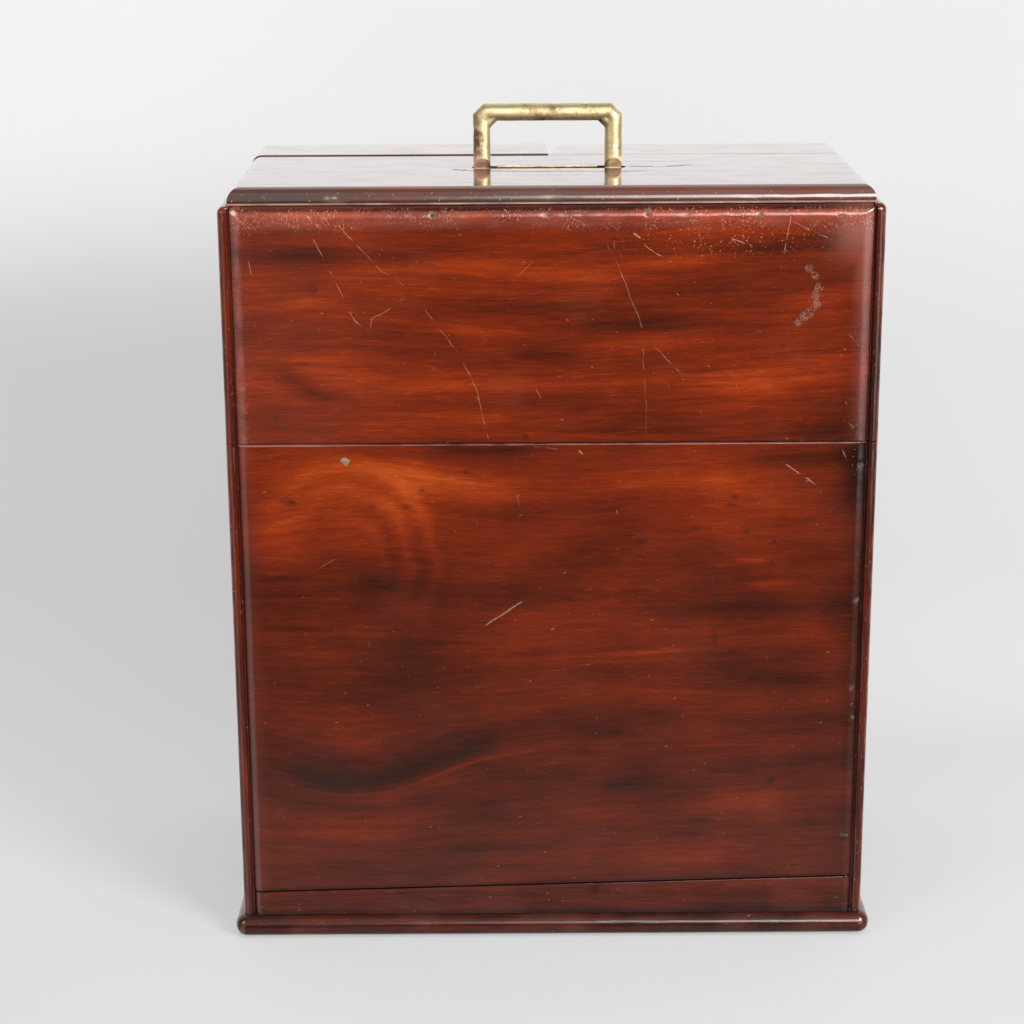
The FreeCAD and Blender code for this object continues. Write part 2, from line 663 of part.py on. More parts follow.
# guide block glued under the top
block = body_of("guide_block_blank")
pad(block, "XY_Plane", rect(d.handle_x - d.block_len / 2, d.handle_x + d.block_len / 2,
                            d.handle_y - d.block_wide / 2, d.handle_y + d.block_wide / 2), block_low, box_top)
pocket(block, "XY_Plane", circles((leg_l, d.handle_y, d.bore_r), (leg_r, d.handle_y, d.bore_r)), block_low, box_top)
pocket(block, "XY_Plane", rect(d.trough_left, d.trough_right, ty0 - w, ty1 + w), tf - w, box_top)
# room for the thick inner corners of the handle when it is down
pocket(block, "XY_Plane", rect(leg_l, d.trough_left, d.handle_y - d.bore_r, d.handle_y + d.bore_r), box_top - 10, box_top)
pocket(block, "XY_Plane", rect(d.trough_right, leg_r, d.handle_y - d.bore_r, d.handle_y + d.bore_r), box_top - 10, box_top)
block_screws = group("guide_block_screws", [
    wood_screw(nm("screw"), d.handle_x + sx * d.block_screw_x, d.handle_y + sy * d.block_screw_y, block_low, "+Z",
               3.8, 1.8, 2.6, 30) for sx in (-1, 1) for sy in (-1, 1)])

# ------------------------------------------------------------ top of the lid
top = body_of("top_blank")
tx, tyy = hw - d.top_inset, hd - d.top_inset
pad(top, "XY_Plane", rect(-tx, tx, -tyy, tyy), box_top, box_top + d.top_fillet)
ux, uy = tx - d.top_step, tyy - d.top_step
pad(top, "XY_Plane", rect(-ux, ux, -uy, uy), box_top + d.top_fillet, d.top_z)
fillet(top, either(level(d.top_z.v, x=ux.v), level(d.top_z.v, x=-ux.v), level(d.top_z.v, y=uy.v),
                   level(d.top_z.v, y=-uy.v)), d.ovolo)
# the slot for the handle and the seat for its brass channel
pocket(top, "XY_Plane", rect(-d.slot_left + d.slot_wide / 2, d.slot_right - d.slot_wide / 2, ty0, ty1),
       box_top - 1, d.top_z + 1)
pocket(top, "XY_Plane", circles((-d.slot_left + d.slot_wide / 2, d.handle_y, d.slot_wide / 2)),
       box_top - 1, d.top_z + 1)
pocket(top, "XY_Plane", circles((d.slot_right - d.slot_wide / 2, d.handle_y, d.slot_wide / 2)),
       box_top - 1, d.top_z + 1)
pocket(top, "XY_Plane", rect(d.trough_left, d.trough_right, ty0 - w, ty1 + w), box_top - 1, d.top_z + 1)
pocket(top, "XY_Plane", rect(d.trough_left, d.trough_right, ty0 - w - d.lip_wide, ty1 + w + d.lip_wide),
       d.top_z - d.lip_thick, d.top_z + 1)
far = hw + 20
jy = d.top_joint_y


def region(label, pts):
    b = body_of(label)
    pad(b, "XY_Plane", poly(*pts), box_top - 5, d.top_z + 5)
    return b


reg_front = region("region_front", [(-far, -far), (far, -far), (far, jy), (-far, jy)])
reg_left = region("region_left", [(-far, jy + d.joint_gap), (d.notch_tip - 0.3, jy + d.joint_gap),
                                  (d.notch_left, tyy), (d.notch_left, far), (-far, far)])
reg_right = region("region_right", [(d.notch_tip + 0.3, jy + d.joint_gap), (far, jy + d.joint_gap), (far, far),
                                    (d.notch_right, far), (d.notch_right, tyy)])
top_front = common("top_front_blank", top, reg_front)
top_rear_l = common("lid_top_rear_left_board", top, reg_left)
bind(top_rear_l, "Placement.Base.z", d.board_lift)
top_rear_r = common("lid_top_rear_right_board", top, reg_right)

batten_f = box("batten_front_blank", -inx, inx, -iny, -iny + d.batten, box_top - d.batten, box_top)
batten_r = box("lid_batten_rear", -inx, inx, iny - d.batten, iny, box_top - d.batten, box_top)

# ---------------------------------------------------------------- letter rack
pb, pc = d.part_b, d.part_c
pt = d.part_thick


def cheek(label, s):
    b = body_of(label)
    a, c = (inx - d.cheek_thick, inx) if s > 0 else (-inx, -inx + d.cheek_thick)
    top_a, top_b = d.rack_low + d.cheek_up, d.rack_high + d.cheek_up + 2
    # each cheek stands in front of the hinge rail and rises towards the rear
    pad(b, "YZ_Plane", poly((d.rack_front, d.base_thick), (d.rack_rear, d.base_thick), (d.rack_rear, top_b),
                            (d.part_c - 2, top_b), (d.rack_front, top_a)), a, c)
    fillet(b, lambda e, p, r: abs(p.x - r.x) > 3 and near(p.z, r.z) and p.z > d.rack_low.v
           and (near(p.y, d.rack_rear.v) or near(p.y, d.rack_front.v)), 4)
    ga, gc = (a, a + d.house) if s > 0 else (c - d.house, c)
    for y, z in ((d.rack_front, d.rack_low), (pb, d.rack_mid), (pc, d.rack_high)):
        pocket(b, "YZ_Plane", rect(y if y is not d.rack_front else y - 1, y + pt, d.base_thick - 1, z), ga, gc)
    return b


cheek_l = cheek("rack_cheek_left", -1)
cheek_r = cheek("rack_cheek_right", 1)
pxx = inx - d.cheek_thick + d.house
part_front = box("rack_partition_front", -pxx, pxx, d.rack_front, d.rack_front + pt, d.base_thick, d.rack_low)
part_mid = box("rack_partition_middle", -pxx, pxx, pb, pb + pt, d.base_thick, d.rack_mid)
part_rear = box("rack_partition_rear", -pxx, pxx, pc, pc + pt, d.base_thick, d.rack_high)
icx = inx - d.cheek_thick
floor_up = box("rack_raised_floor", -icx, icx, d.rack_front + pt, pb, d.raised_floor, d.raised_floor + d.thin)
div_front = box("rack_divider_front", -d.thin / 2, d.thin / 2, d.rack_front + pt, pb,
                d.raised_floor + d.thin, d.rack_low - 3)
div_mid = box("rack_divider_middle", 66, 66 + d.thin, pb + pt, pc, d.base_thick, d.rack_mid - 3)

# -------------------------------------------------------------- lift-out tray
bear_l = box("tray_bearer_left", -inx, -inx + d.bearer_wide, -iny, d.tray_rear_y,
             d.tray_low - d.bearer_high, d.tray_low)
bear_r = box("tray_bearer_right", inx - d.bearer_wide, inx, -iny, d.tray_rear_y,
             d.tray_low - d.bearer_high, d.tray_low)
th, tw = d.tray_half, d.tray_wall
t0, t1 = d.tray_front_y, d.tray_rear_y
tz = d.tray_low + tw
tray_bottom = box("tray_bottom", -th, th, t0, t1, d.tray_low, tz)
tray_front = box("tray_front", -th, th, t0, t0 + tw, tz, d.tray_top)
tray_rear = box("tray_back", -th, th, t1 - tw, t1, tz, d.tray_top)
tray_end_l = box("tray_end_left", -th, -th + tw, t0 + tw, t1 - tw, tz, d.tray_top)
tray_end_r = box("tray_end_right", th - tw, th, t0 + tw, t1 - tw, tz, d.tray_top)
ii = d.ink_inner
dv = d.tray_div
div_l = box("tray_divider_left", -ii, -ii + dv, t0 + tw, t1 - tw, tz, d.tray_top - 4)
div_r = box("tray_divider_right", ii - dv, ii, t0 + tw, t1 - tw, tz, d.tray_top - 4)
cross_l = box("tray_cross_divider_left", -th + tw, -ii, d.ink_cross, d.ink_cross + dv, tz, d.tray_top - 4)
cross_r = box("tray_cross_divider_right", ii, th - tw, d.ink_cross, d.ink_cross + dv, tz, d.tray_top - 4)
pen = body_of("pen_trough")
py0, py1 = d.trough_front_y, t1 - tw
pad(pen, "YZ_Plane", rect(py0, py1, tz, d.pen_top), -ii + dv, ii - dv)
pocket(pen, "YZ_Plane", circles(((py0 + py1) / 2, d.pen_top, d.pen_r)), -ii + dv - 1, ii - dv + 1)

# --------------------------------------------------------------- ink bottles
bottles, caps = {}, {}
for s, word in ((-1, "left"), (1, "right")):
    bxc, byc, hb = s * d.bottle_x, d.bottle_y, d.bottle_half
    b = body_of("ink_bottle_" + word)
    z0 = tz
    z1 = z0 + d.bottle_high
    pad(b, "XY_Plane", rect(bxc - hb, bxc + hb, byc - hb, byc + hb), z0, z1)
    fillet(b, lambda e, p, r: near(p.x, r.x) and near(p.y, r.y), 3)
    fillet(b, lambda e, p, r: near(p.z, z1.v) and near(r.z, z1.v), 2)
    pad(b, "XY_Plane", circles((bxc, byc, d.neck_r)), z1, z1 + d.neck_high)
    bw = hb - d.bottle_wall
    pocket(b, "XY_Plane", rect(bxc - bw, bxc + bw, byc - bw, byc + bw), z0 + 3, z1 - 3)
    pocket(b, "XY_Plane", circles((bxc, byc, d.neck_bore)), z1 - 4, z1 + d.neck_high + 1)
    bottles[s] = b
    c = body_of("ink_cap_" + word)
    cz0 = z1 + 0.4
    pad(c, "XY_Plane", circles((bxc, byc, d.cap_r)), cz0, cz0 + d.cap_high)
    pocket(c, "XY_Plane", circles((bxc, byc, d.neck_r + 0.3)), cz0 - 1, z1 + d.neck_high + 0.3)
    caps[s] = c

# ----------------------------------------------------- holes for the fasteners
doc.recompute()
part(cut("base_board", base, base_screw_set), "base_board")
case_tools_l = group(nm("tools"), [base_screw_set, hook_screw_set, case_brads, back_brads])
part(cut("case_side_left", case_left, case_tools_l), "case_side_left")
part(cut("case_side_right", case_right, case_tools_l), "case_side_right")
part(cut("case_front_board", front, case_brads), "case_front_board")
part(cut("case_front_rail", rail, base_screw_set), "case_front_rail")
part(cut("case_back_board", back, group(nm("tools"), [base_screw_set, back_brads])), "case_back_board")
part(cut("case_hinge_rail", case_hrail, low_screw_set), "case_hinge_rail")
part(cut("lid_side_left", lid_left, catch_stud_set), "lid_side_left")
part(cut("lid_side_right", lid_right, catch_stud_set), "lid_side_right")
part(cut("lid_front_board", lid_front, lid_brads), "lid_front_board")
part(lid_back, "lid_back_board")
part(cut("lid_hinge_rail", lid_hrail, up_screw_set), "lid_hinge_rail")
part(cut("lid_top_front_board", top_front, block_screws), "lid_top_front_board")
part(top_rear_l, "lid_top_rear_left_board")
part(top_rear_r, "lid_top_rear_right_board")
part(cut("lid_batten_front", batten_f, lid_brads), "lid_batten_front")
part(batten_r, "lid_batten_rear")
part(cut("handle_guide_block", block, block_screws), "handle_guide_block")
part(block_screws, "guide_block_screws")
part(trough, "handle_channel")
part(handle, "carrying_handle")
part(stop_bar, "handle_stop_bar")
part(nut_set, "handle_nuts")
part(low_leaf_set, "hinge_leaves_lower")
part(up_leaf_set, "hinge_leaves_upper")
part(pin_set, "hinge_pins")
part(low_screw_set, "hinge_screws_lower")
part(up_screw_set, "hinge_screws_upper")
part(hooks[-1], "side_hook_left")
part(hooks[1], "side_hook_right")
part(hook_screw_set, "hook_pivot_screws")
part(catch_stud_set, "hook_catch_studs")
part(case_brads, "front_brads")
part(back_brads, "back_brads")
part(lid_brads, "lid_brads")
part(base_screw_set, "base_screws")
part(cheek_l, "rack_cheek_left")
part(cheek_r, "rack_cheek_right")
part(part_front, "rack_partition_front")
part(part_mid, "rack_partition_middle")
part(part_rear, "rack_partition_rear")
part(floor_up, "rack_raised_floor")
part(div_front, "rack_divider_front")
part(div_mid, "rack_divider_middle")
part(bear_l, "tray_bearer_left")
part(bear_r, "tray_bearer_right")
part(tray_bottom, "tray_bottom")
part(tray_front, "tray_front")
part(tray_rear, "tray_back")
part(tray_end_l, "tray_end_left")
part(tray_end_r, "tray_end_right")
part(div_l, "tray_divider_left")
part(div_r, "tray_divider_right")
part(cross_l, "tray_cross_divider_left")
part(cross_r, "tray_cross_divider_right")
part(pen, "pen_trough")
part(bottles[-1], "ink_bottle_left")
part(bottles[1], "ink_bottle_right")
part(caps[-1], "ink_cap_left")
part(caps[1], "ink_cap_right")

doc.recompute()

# ------------------------------------------------------------------- writing
bad = []
for o in doc.Objects:
    if "Invalid" in o.State or "Error" in o.State:
        bad.append("%s (%s): %s" % (o.Name, o.Label, o.State))
for o in PARTS:
    s = o.Shape
    if s.isNull() or not s.isValid() or not s.Solids:
        bad.append("%s has no valid shape" % o.Label)
if bad:
    raise RuntimeError("\n".join(bad))
labels = [o.Label for o in PARTS]
if len(set(labels)) != len(labels):
    raise RuntimeError("two parts share a name")
if len(PARTS) > 60:
    raise RuntimeError("too many parts: %d" % len(PARTS))
os.makedirs("parts", exist_ok=True)
for o in PARTS:
    o.Shape.exportStep(os.path.join("parts", o.Label + ".step"))
print("wrote %d parts" % len(PARTS))
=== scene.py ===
import json
import math
import random

import bmesh
import bpy
import numpy as np
from mathutils import Matrix, Vector, noise

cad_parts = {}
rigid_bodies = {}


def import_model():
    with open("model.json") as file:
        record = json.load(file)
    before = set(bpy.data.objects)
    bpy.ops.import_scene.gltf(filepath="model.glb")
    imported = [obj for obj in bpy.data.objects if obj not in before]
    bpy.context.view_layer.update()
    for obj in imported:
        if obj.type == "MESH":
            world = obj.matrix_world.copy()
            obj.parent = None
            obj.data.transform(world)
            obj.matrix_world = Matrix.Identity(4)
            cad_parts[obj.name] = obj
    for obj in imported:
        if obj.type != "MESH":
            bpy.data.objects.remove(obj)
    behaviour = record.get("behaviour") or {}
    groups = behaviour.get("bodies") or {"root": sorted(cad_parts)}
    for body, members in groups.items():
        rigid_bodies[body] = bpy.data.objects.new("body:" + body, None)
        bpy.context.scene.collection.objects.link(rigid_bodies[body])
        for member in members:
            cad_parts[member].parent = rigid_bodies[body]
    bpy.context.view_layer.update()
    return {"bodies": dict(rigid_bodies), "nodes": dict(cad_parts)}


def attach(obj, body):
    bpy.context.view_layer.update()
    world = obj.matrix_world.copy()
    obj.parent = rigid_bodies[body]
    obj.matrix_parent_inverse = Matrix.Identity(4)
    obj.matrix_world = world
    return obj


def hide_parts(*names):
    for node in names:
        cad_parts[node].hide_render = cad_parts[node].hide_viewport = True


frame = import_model()
NODES = frame["nodes"]
scene = bpy.context.scene
MM = 0.001


# ------------------------------------------------------------ node building
class Net:
    """A shader node tree written as expressions. Lengths in it are millimetres."""

    def __init__(self, name):
        self.mat = bpy.data.materials.new(name)
        self.mat.use_nodes = True
        self.t = self.mat.node_tree
        self.t.nodes.clear()
        self.out = self.t.nodes.new("ShaderNodeOutputMaterial")
        self.bsdf = self.t.nodes.new("ShaderNodeBsdfPrincipled")
        self.t.links.new(self.bsdf.outputs[0], self.out.inputs[0])
        co = self.t.nodes.new("ShaderNodeTexCoord").outputs["Object"]
        self.p = self.vm("SCALE", co, scale=1000.0)
        s = self.t.nodes.new("ShaderNodeSeparateXYZ")
        self.put(s.inputs[0], self.p)
        self.x, self.y, self.z = s.outputs[0], s.outputs[1], s.outputs[2]

    def put(self, socket, v):
        if isinstance(v, bpy.types.NodeSocket):
            self.t.links.new(v, socket)
        elif isinstance(v, (tuple, list)) and socket.type == "RGBA":
            socket.default_value = (*v, 1.0)
        else:
            socket.default_value = v

    def m(self, op, a, b=None, c=None, clamp=False):
        n = self.t.nodes.new("ShaderNodeMath")
        n.operation = op
        n.use_clamp = clamp
        for i, v in enumerate((a, b, c)):
            if v is not None:
                self.put(n.inputs[i], v)
        return n.outputs[0]

    def add(self, a, b):
        return self.m("ADD", a, b)

    def sub(self, a, b):
        return self.m("SUBTRACT", a, b)

    def mul(self, a, b):
        return self.m("MULTIPLY", a, b)

    def mad(self, a, b, c):
        return self.m("MULTIPLY_ADD", a, b, c)

    def vm(self, op, a, b=None, scale=None):
        n = self.t.nodes.new("ShaderNodeVectorMath")
        n.operation = op
        self.put(n.inputs[0], a)
        if b is not None:
            self.put(n.inputs[1], b)
        if scale is not None:
            self.put(n.inputs["Scale"], scale)
        return n.outputs["Value"] if op in ("LENGTH", "DISTANCE", "DOT_PRODUCT") else n.outputs[0]

    def xyz(self, x, y, z):
        n = self.t.nodes.new("ShaderNodeCombineXYZ")
        for i, v in enumerate((x, y, z)):
            self.put(n.inputs[i], v)
        return n.outputs[0]

    def noise(self, vec, scale=1.0, detail=2.0, rough=0.5, distort=0.0):
        n = self.t.nodes.new("ShaderNodeTexNoise")
        self.put(n.inputs["Vector"], vec)
        n.inputs["Scale"].default_value = scale
        n.inputs["Detail"].default_value = detail
        n.inputs["Roughness"].default_value = rough
        n.inputs["Distortion"].default_value = distort
        return n.outputs[0]

    def cells(self, vec, scale=1.0, feature="F1", randomness=1.0):
        n = self.t.nodes.new("ShaderNodeTexVoronoi")
        n.feature = feature
        self.put(n.inputs["Vector"], vec)
        n.inputs["Scale"].default_value = scale
        n.inputs["Randomness"].default_value = randomness
        return n.outputs

    def span(self, v, a, b, lo=0.0, hi=1.0, smooth=True):
        """v taken from a..b to lo..hi, held at the ends."""
        n = self.t.nodes.new("ShaderNodeMapRange")
        n.interpolation_type = "SMOOTHSTEP" if smooth else "LINEAR"
        for i, k in enumerate((v, a, b, lo, hi)):
            self.put(n.inputs[i], k)
        return n.outputs[0]

    def ramp(self, fac, stops):
        n = self.t.nodes.new("ShaderNodeValToRGB")
        e = n.color_ramp.elements
        while len(e) < len(stops):
            e.new(0.5)
        for k, (pos, col) in zip(e, stops):
            k.position = pos
            k.color = (*col, 1.0)
        self.put(n.inputs[0], fac)
        return n.outputs[0]

    def mix(self, fac, a, b, mode="MIX"):
        n = self.t.nodes.new("ShaderNodeMix")
        n.data_type = "RGBA"
        n.blend_type = mode
        n.clamp_factor = True
        ins = [s for s in n.inputs if s.enabled or s.type == "RGBA"]
        self.put(n.inputs["Factor"], fac)
        cols = [s for s in n.inputs if s.type == "RGBA"]
        self.put(cols[0], a)
        self.put(cols[1], b)
        return [s for s in n.outputs if s.type == "RGBA"][0]

    def grey(self, v):
        return self.xyz(v, v, v)

    def blob(self, u, v, cu, cv, su, sv, turn=0.0):
        """A soft elliptical patch: 1 at (cu, cv), fading over su and sv, turned by degrees."""
        return spots(self, self.xyz(u, v, 0.0), [(cu, cv, su, sv, 1.0, turn)])

    def bump(self, height, distance, strength=1.0):
        n = self.t.nodes.new("ShaderNodeBump")
        n.inputs["Strength"].default_value = strength
        n.inputs["Distance"].default_value = distance
        self.put(n.inputs["Height"], height)
        return n.outputs[0]

    def shade(self, **sockets):
        for k, v in sockets.items():
            self.put(self.bsdf.inputs[k.replace("_", " ")], v)
        return self.mat



def group_tree(name, inputs, build):
    """A node group: inputs are (name, kind) pairs, build(net, sockets) gives the one output."""
    g = bpy.data.node_groups.new(name, "ShaderNodeTree")
    for k, kind in inputs:
        g.interface.new_socket(name=k, in_out="INPUT", socket_type=kind)
    g.interface.new_socket(name="out", in_out="OUTPUT", socket_type="NodeSocketFloat")
    net = Net.__new__(Net)
    net.t = g
    gi = g.nodes.new("NodeGroupInput")
    go = g.nodes.new("NodeGroupOutput")
    g.links.new(build(net, [gi.outputs[i] for i in range(len(inputs))]), go.inputs[0])
    return g


def _spot(n, s):
    # base + amount * exp(-r^2), where r is measured in the patch's own turned and scaled axes
    P, centre, A, B, amount, base = s
    d = n.vm("SUBTRACT", P, centre)
    a, b = n.vm("DOT_PRODUCT", d, A), n.vm("DOT_PRODUCT", d, B)
    return n.mad(n.m("POWER", 0.367879, n.mad(a, a, n.mul(b, b))), amount, base)


def _mark(n, s):
    # the larger of base and amount, on the line that starts at start and runs along way for length
    P, start, way, length, wide, amount, base = s
    d = n.vm("SUBTRACT", P, start)
    along = n.m("MINIMUM", n.m("MAXIMUM", n.vm("DOT_PRODUCT", d, way), 0.0), length)
    r = n.vm("DISTANCE", d, n.vm("SCALE", way, scale=along))
    return n.m("MAXIMUM", n.mul(n.span(r, n.mul(wide, 0.3), wide, 1.0, 0.0), amount), base)


F, V = "NodeSocketFloat", "NodeSocketVector"
SPOT = group_tree("soft_spot", [("P", V), ("centre", V), ("A", V), ("B", V), ("amount", F), ("base", F)], _spot)
MARK = group_tree("line_mark", [("P", V), ("start", V), ("way", V), ("length", F), ("wide", F), ("amount", F),
                                ("base", F)], _mark)


def use(n, tree, values):
    k = n.t.nodes.new("ShaderNodeGroup")
    k.node_tree = tree
    for s, v in zip(k.inputs, values):
        n.put(s, v)
    return k.outputs[0]


def spots(n, P, rows, base=0.0):
    """Adds soft elliptical patches: rows of (centre u, centre v, half width u, half width v, amount, turn in degrees)."""
    for cu, cv, su, sv, amount, turn in rows:
        c, s = math.cos(math.radians(turn)), math.sin(math.radians(turn))
        base = use(n, SPOT, (P, (cu, cv, 0.0), (c / su, s / su, 0.0), (-s / sv, c / sv, 0.0), amount, base))
    return base


def marks_on(n, P, rows):
    """Thin lines: rows of (from, to, half width, strength)."""
    base = 0.0
    for a, b, wide, amount in rows:
        length = math.hypot(b[0] - a[0], b[1] - a[1])
        way = ((b[0] - a[0]) / length, (b[1] - a[1]) / length, 0.0)
        base = use(n, MARK, (P, (a[0], a[1], 0.0), way, length, wide, amount, base))
    return base

def lin(r, g, b):
    """sRGB 0-255 to linear."""
    return tuple((c / 255 / 12.92) if c / 255 <= 0.04045 else ((c / 255 + 0.055) / 1.055) ** 2.4 for c in (r, g, b))


WOOD = [(0.0, lin(26, 12, 8)), (0.18, lin(49, 18, 9)), (0.36, lin(80, 26, 11)), (0.52, lin(107, 34, 12)),
        (0.68, lin(135, 47, 14)), (0.84, lin(162, 68, 21)), (1.0, lin(188, 95, 37))]
# pale colour of scratches, and of painted highlights and glints
SCRATCH_AND_GLINT = lin(214, 164, 142)
THIN, FAINT = 0.86, 0.54


def total(n, parts, op="ADD"):
    v = parts[0]
    for p in parts[1:]:
        v = n.m(op, v, p)
    return v


def strokes(n, u, v, turn, fine, long, cut, seed=0.0):
    """Short random straight marks that lie at an angle."""
    c, s = math.cos(math.radians(turn)), math.sin(math.radians(turn))
    a = n.add(n.mul(u, c * long), n.mul(v, s * long))
    b = n.add(n.mul(u, -s * fine), n.mul(v, c * fine))
    return n.span(n.noise(n.xyz(a, b, seed), detail=0.0), cut, cut + 0.035)


def wood(name, grain="X", face="Z", tone=0.5, seed=0.0, bands=0.30, streaks=0.34, blotch=0.16, warp=None, marks=None,
         stops=WOOD, coat=1.0, coat_rough=0.12, coat_ior=1.5, sheen=0.0, fine=0.44, rough=0.34, dust=0.0, wander=26.0, flecks=0.22,
         bump=0.00010, spec=0.02):
    """Polished mahogany. grain is the axis its fibres run along, and face the axis across them on its broad side."""
    n = Net(name)
    ax = {"X": n.x, "Y": n.y, "Z": n.z}
    w = ax[[k for k in "XYZ" if k not in (grain, face)][0]]
    u0, v0 = ax[grain], ax[face]
    u, v = (n.add(u0, seed * 337.0), n.add(v0, seed * 191.0)) if seed else (u0, v0)
    # the fibres wander slowly, and a board's own figure bends them
    slow = n.noise(n.xyz(n.mul(u, 0.0042), n.mul(v, 0.011), n.mul(w, 0.011)), detail=1.0)
    quick = n.noise(n.xyz(n.mul(u, 0.016), n.mul(v, 0.035), n.mul(w, 0.035)), detail=1.0)
    g = n.mad(n.sub(slow, 0.5), wander, n.mad(n.sub(quick, 0.5), 5.0, v))
    info = {"n": n, "u": u0, "v": v0, "w": w, "tone": [], "scratch": [], "haze": [], "dirt": [], "gap": [],
            "rust": [], "P": n.xyz(u0, v0, 0.0)}
    flat = v0
    if warp:
        bend = warp(n, u0, v0)
        g, flat = n.sub(g, bend), n.sub(v0, bend)
    info["g"], info["flat"] = g, flat
    half = n.mad(n.sub(g, v), 0.55, v)      # the finest fibres follow the figure only a little
    near = n.mad(n.sub(g, v), 0.25, v)
    b = n.noise(n.xyz(n.mul(u, 0.0030), n.mul(g, 0.040), n.mul(w, 0.040)), detail=3.0, rough=0.55)
    s = n.noise(n.xyz(n.mul(u, 0.017), n.mul(half, 0.30), n.mul(w, 0.30)), detail=3.0, rough=0.68)
    f = n.noise(n.xyz(n.mul(u, 0.060), n.mul(near, 1.15), n.mul(w, 1.25)), detail=2.0, rough=0.6)
    c = n.noise(n.xyz(n.mul(u, 0.012), n.mul(v, 0.018), n.mul(w, 0.018)), detail=3.0, rough=0.55)
    # short bright lens-shaped flecks where the fibres dip under the surface
    k = n.noise(n.xyz(n.mul(u, 0.12), n.mul(near, 0.75), n.mul(w, 0.75)), detail=2.0, rough=0.5)
    t = n.mad(n.sub(b, 0.5), bands * 2.4, tone)
    t = n.mad(n.sub(s, 0.5), streaks * 2.0, t)
    t = n.mad(n.sub(f, 0.5), fine, t)
    t = n.mad(n.sub(c, 0.5), blotch * 2.2, t)
    t = n.mad(n.span(k, 0.56, 0.74), flecks * 0.6, t)
    if marks:
        marks(info)
    for extra in info["tone"]:
        t = n.add(t, extra)
    col = n.ramp(t, stops)
    # open pores: short dark dashes along the fibres
    pore = n.span(n.noise(n.xyz(n.mul(u, 0.15), n.mul(near, 2.4), n.mul(w, 2.4)), detail=1.0), 0.61, 0.73)
    dark = n.mul(pore, 0.34)
    col = n.mix(dark, col, lin(34, 14, 11))
    h = n.mul(pore, -0.12)
    # darkening: real dirt and stains, and painted shade in joints, grooves, creases and along feet, where the marks
    # functions put it
    if info["dirt"]:
        dirt = n.m("MINIMUM", total(n, info["dirt"]), 1.0)
        col = n.mix(n.mul(dirt, 0.85), col, lin(33, 20, 18))
    if info["rust"]:
        col = n.mix(n.m("MINIMUM", total(n, info["rust"]), 1.0), col, lin(100, 90, 74))
    ro = n.span(n.noise(n.xyz(n.mul(u, 0.03), n.mul(v, 0.06), n.mul(w, 0.06)), detail=3.0), 0.3, 0.75,
                rough - 0.07, rough + 0.13)
    # pale veil: dull bloom of the polish, and painted sheen and highlights on some rounded edges
    if info["haze"]:
        haze = n.m("MINIMUM", total(n, info["haze"]), 1.0)
        col = n.mix(haze, col, lin(150, 92, 80))
        ro = n.mad(haze, 0.2, ro)
    # pale marks: real scratches and specks, and painted highlights and glints
    if info["scratch"]:
        scr = n.m("MINIMUM", total(n, info["scratch"]), 1.0)
        col = n.mix(scr, col, SCRATCH_AND_GLINT)
        ro = n.mad(scr, 0.2, ro)
    if dust:
        # settled dust and dull wax on the upper faces
        grey = n.span(n.noise(n.xyz(n.mul(u, 0.02), n.mul(v, 0.03), n.mul(w, 0.03)), detail=3.0), 0.35, 0.7, 0.5, 1.0)
        col = n.mix(n.mul(grey, dust), col, lin(138, 140, 126))
    wav = n.noise(n.xyz(n.mul(u, 0.02), n.mul(v, 0.06), n.mul(w, 0.06)), detail=2.0)
    h = n.mad(wav, 1.3, h)
    sockets = dict(Base_Color=col, Roughness=ro, Coat_Weight=coat, Coat_Roughness=coat_rough, Coat_IOR=coat_ior)
    if info["gap"]:
        # an open crack: no polish over it, and nothing bright in it
        gap = n.m("MINIMUM", total(n, info["gap"]), 1.0)
        sockets["Base_Color"] = n.mix(gap, col, lin(16, 9, 8))
        sockets["Coat_Weight"] = n.mul(n.sub(1.0, gap), coat)
        sockets["Roughness"] = n.mix_value(gap, ro, 1.0)
    nrm = n.bump(h, bump)
    sockets["Normal"] = nrm
    if coat:
        sockets["Coat_Normal"] = nrm
    n.bsdf.inputs["Specular IOR Level"].default_value = spec
    n.bsdf.inputs["Sheen Weight"].default_value = sheen
    n.bsdf.inputs["Sheen Roughness"].default_value = 0.3
    return n.shade(**sockets)


def brass(name, light=(186, 158, 96), dark=(96, 68, 44), seed=0.0, rough=0.36, old=0.7, marks=None, bump=0.00012, metal=1.0):
    """Old brass: worn bright in places, brown and greenish in others."""
    n = Net(name)
    p = n.vm("ADD", n.p, (seed * 11.0, seed * 7.0, seed * 5.0))
    a = n.noise(p, 0.07, 4.0, 0.6)
    b = n.noise(p, 0.5, 4.0, 0.65)
    stain = n.span(n.noise(p, 0.25, 2.0, 0.5), 0.62, 0.72)
    t = n.span(n.add(a, n.mul(n.sub(b, 0.5), 0.55)), 0.44, 0.74)
    col = n.mix(n.mul(t, old), lin(*light), lin(*dark))
    olive = n.span(n.noise(p, 0.13, 3.0, 0.6), 0.48, 0.66)
    col = n.mix(n.mul(olive, 0.45 * old), col, lin(128, 118, 70))
    col = n.mix(n.mul(stain, 0.75 * old), col, lin(78, 54, 46))
    h = n.add(n.mul(b, 0.8), n.mul(n.noise(p, 1.7, 2.0), 0.35))
    ro = n.mad(t, 0.16, n.mad(n.sub(b, 0.5), 0.24, rough))
    info = {"n": n, "col": col, "h": h, "ro": ro, "t": t}
    if marks:
        marks(info)
    return n.shade(Base_Color=info["col"], Metallic=info.get("metal", metal), Roughness=info["ro"], Normal=n.bump(info["h"], bump))


def _mix_value(self, fac, a, b):
    n = self.t.nodes.new("ShaderNodeMix")
    n.data_type = "FLOAT"
    self.put(n.inputs["Factor"], fac)
    vals = [s for s in n.inputs if s.type == "VALUE" and s.name in ("A", "B")]
    self.put(vals[0], a)
    self.put(vals[1], b)
    return [s for s in n.outputs if s.type == "VALUE"][0]


Net.mix_value = _mix_value


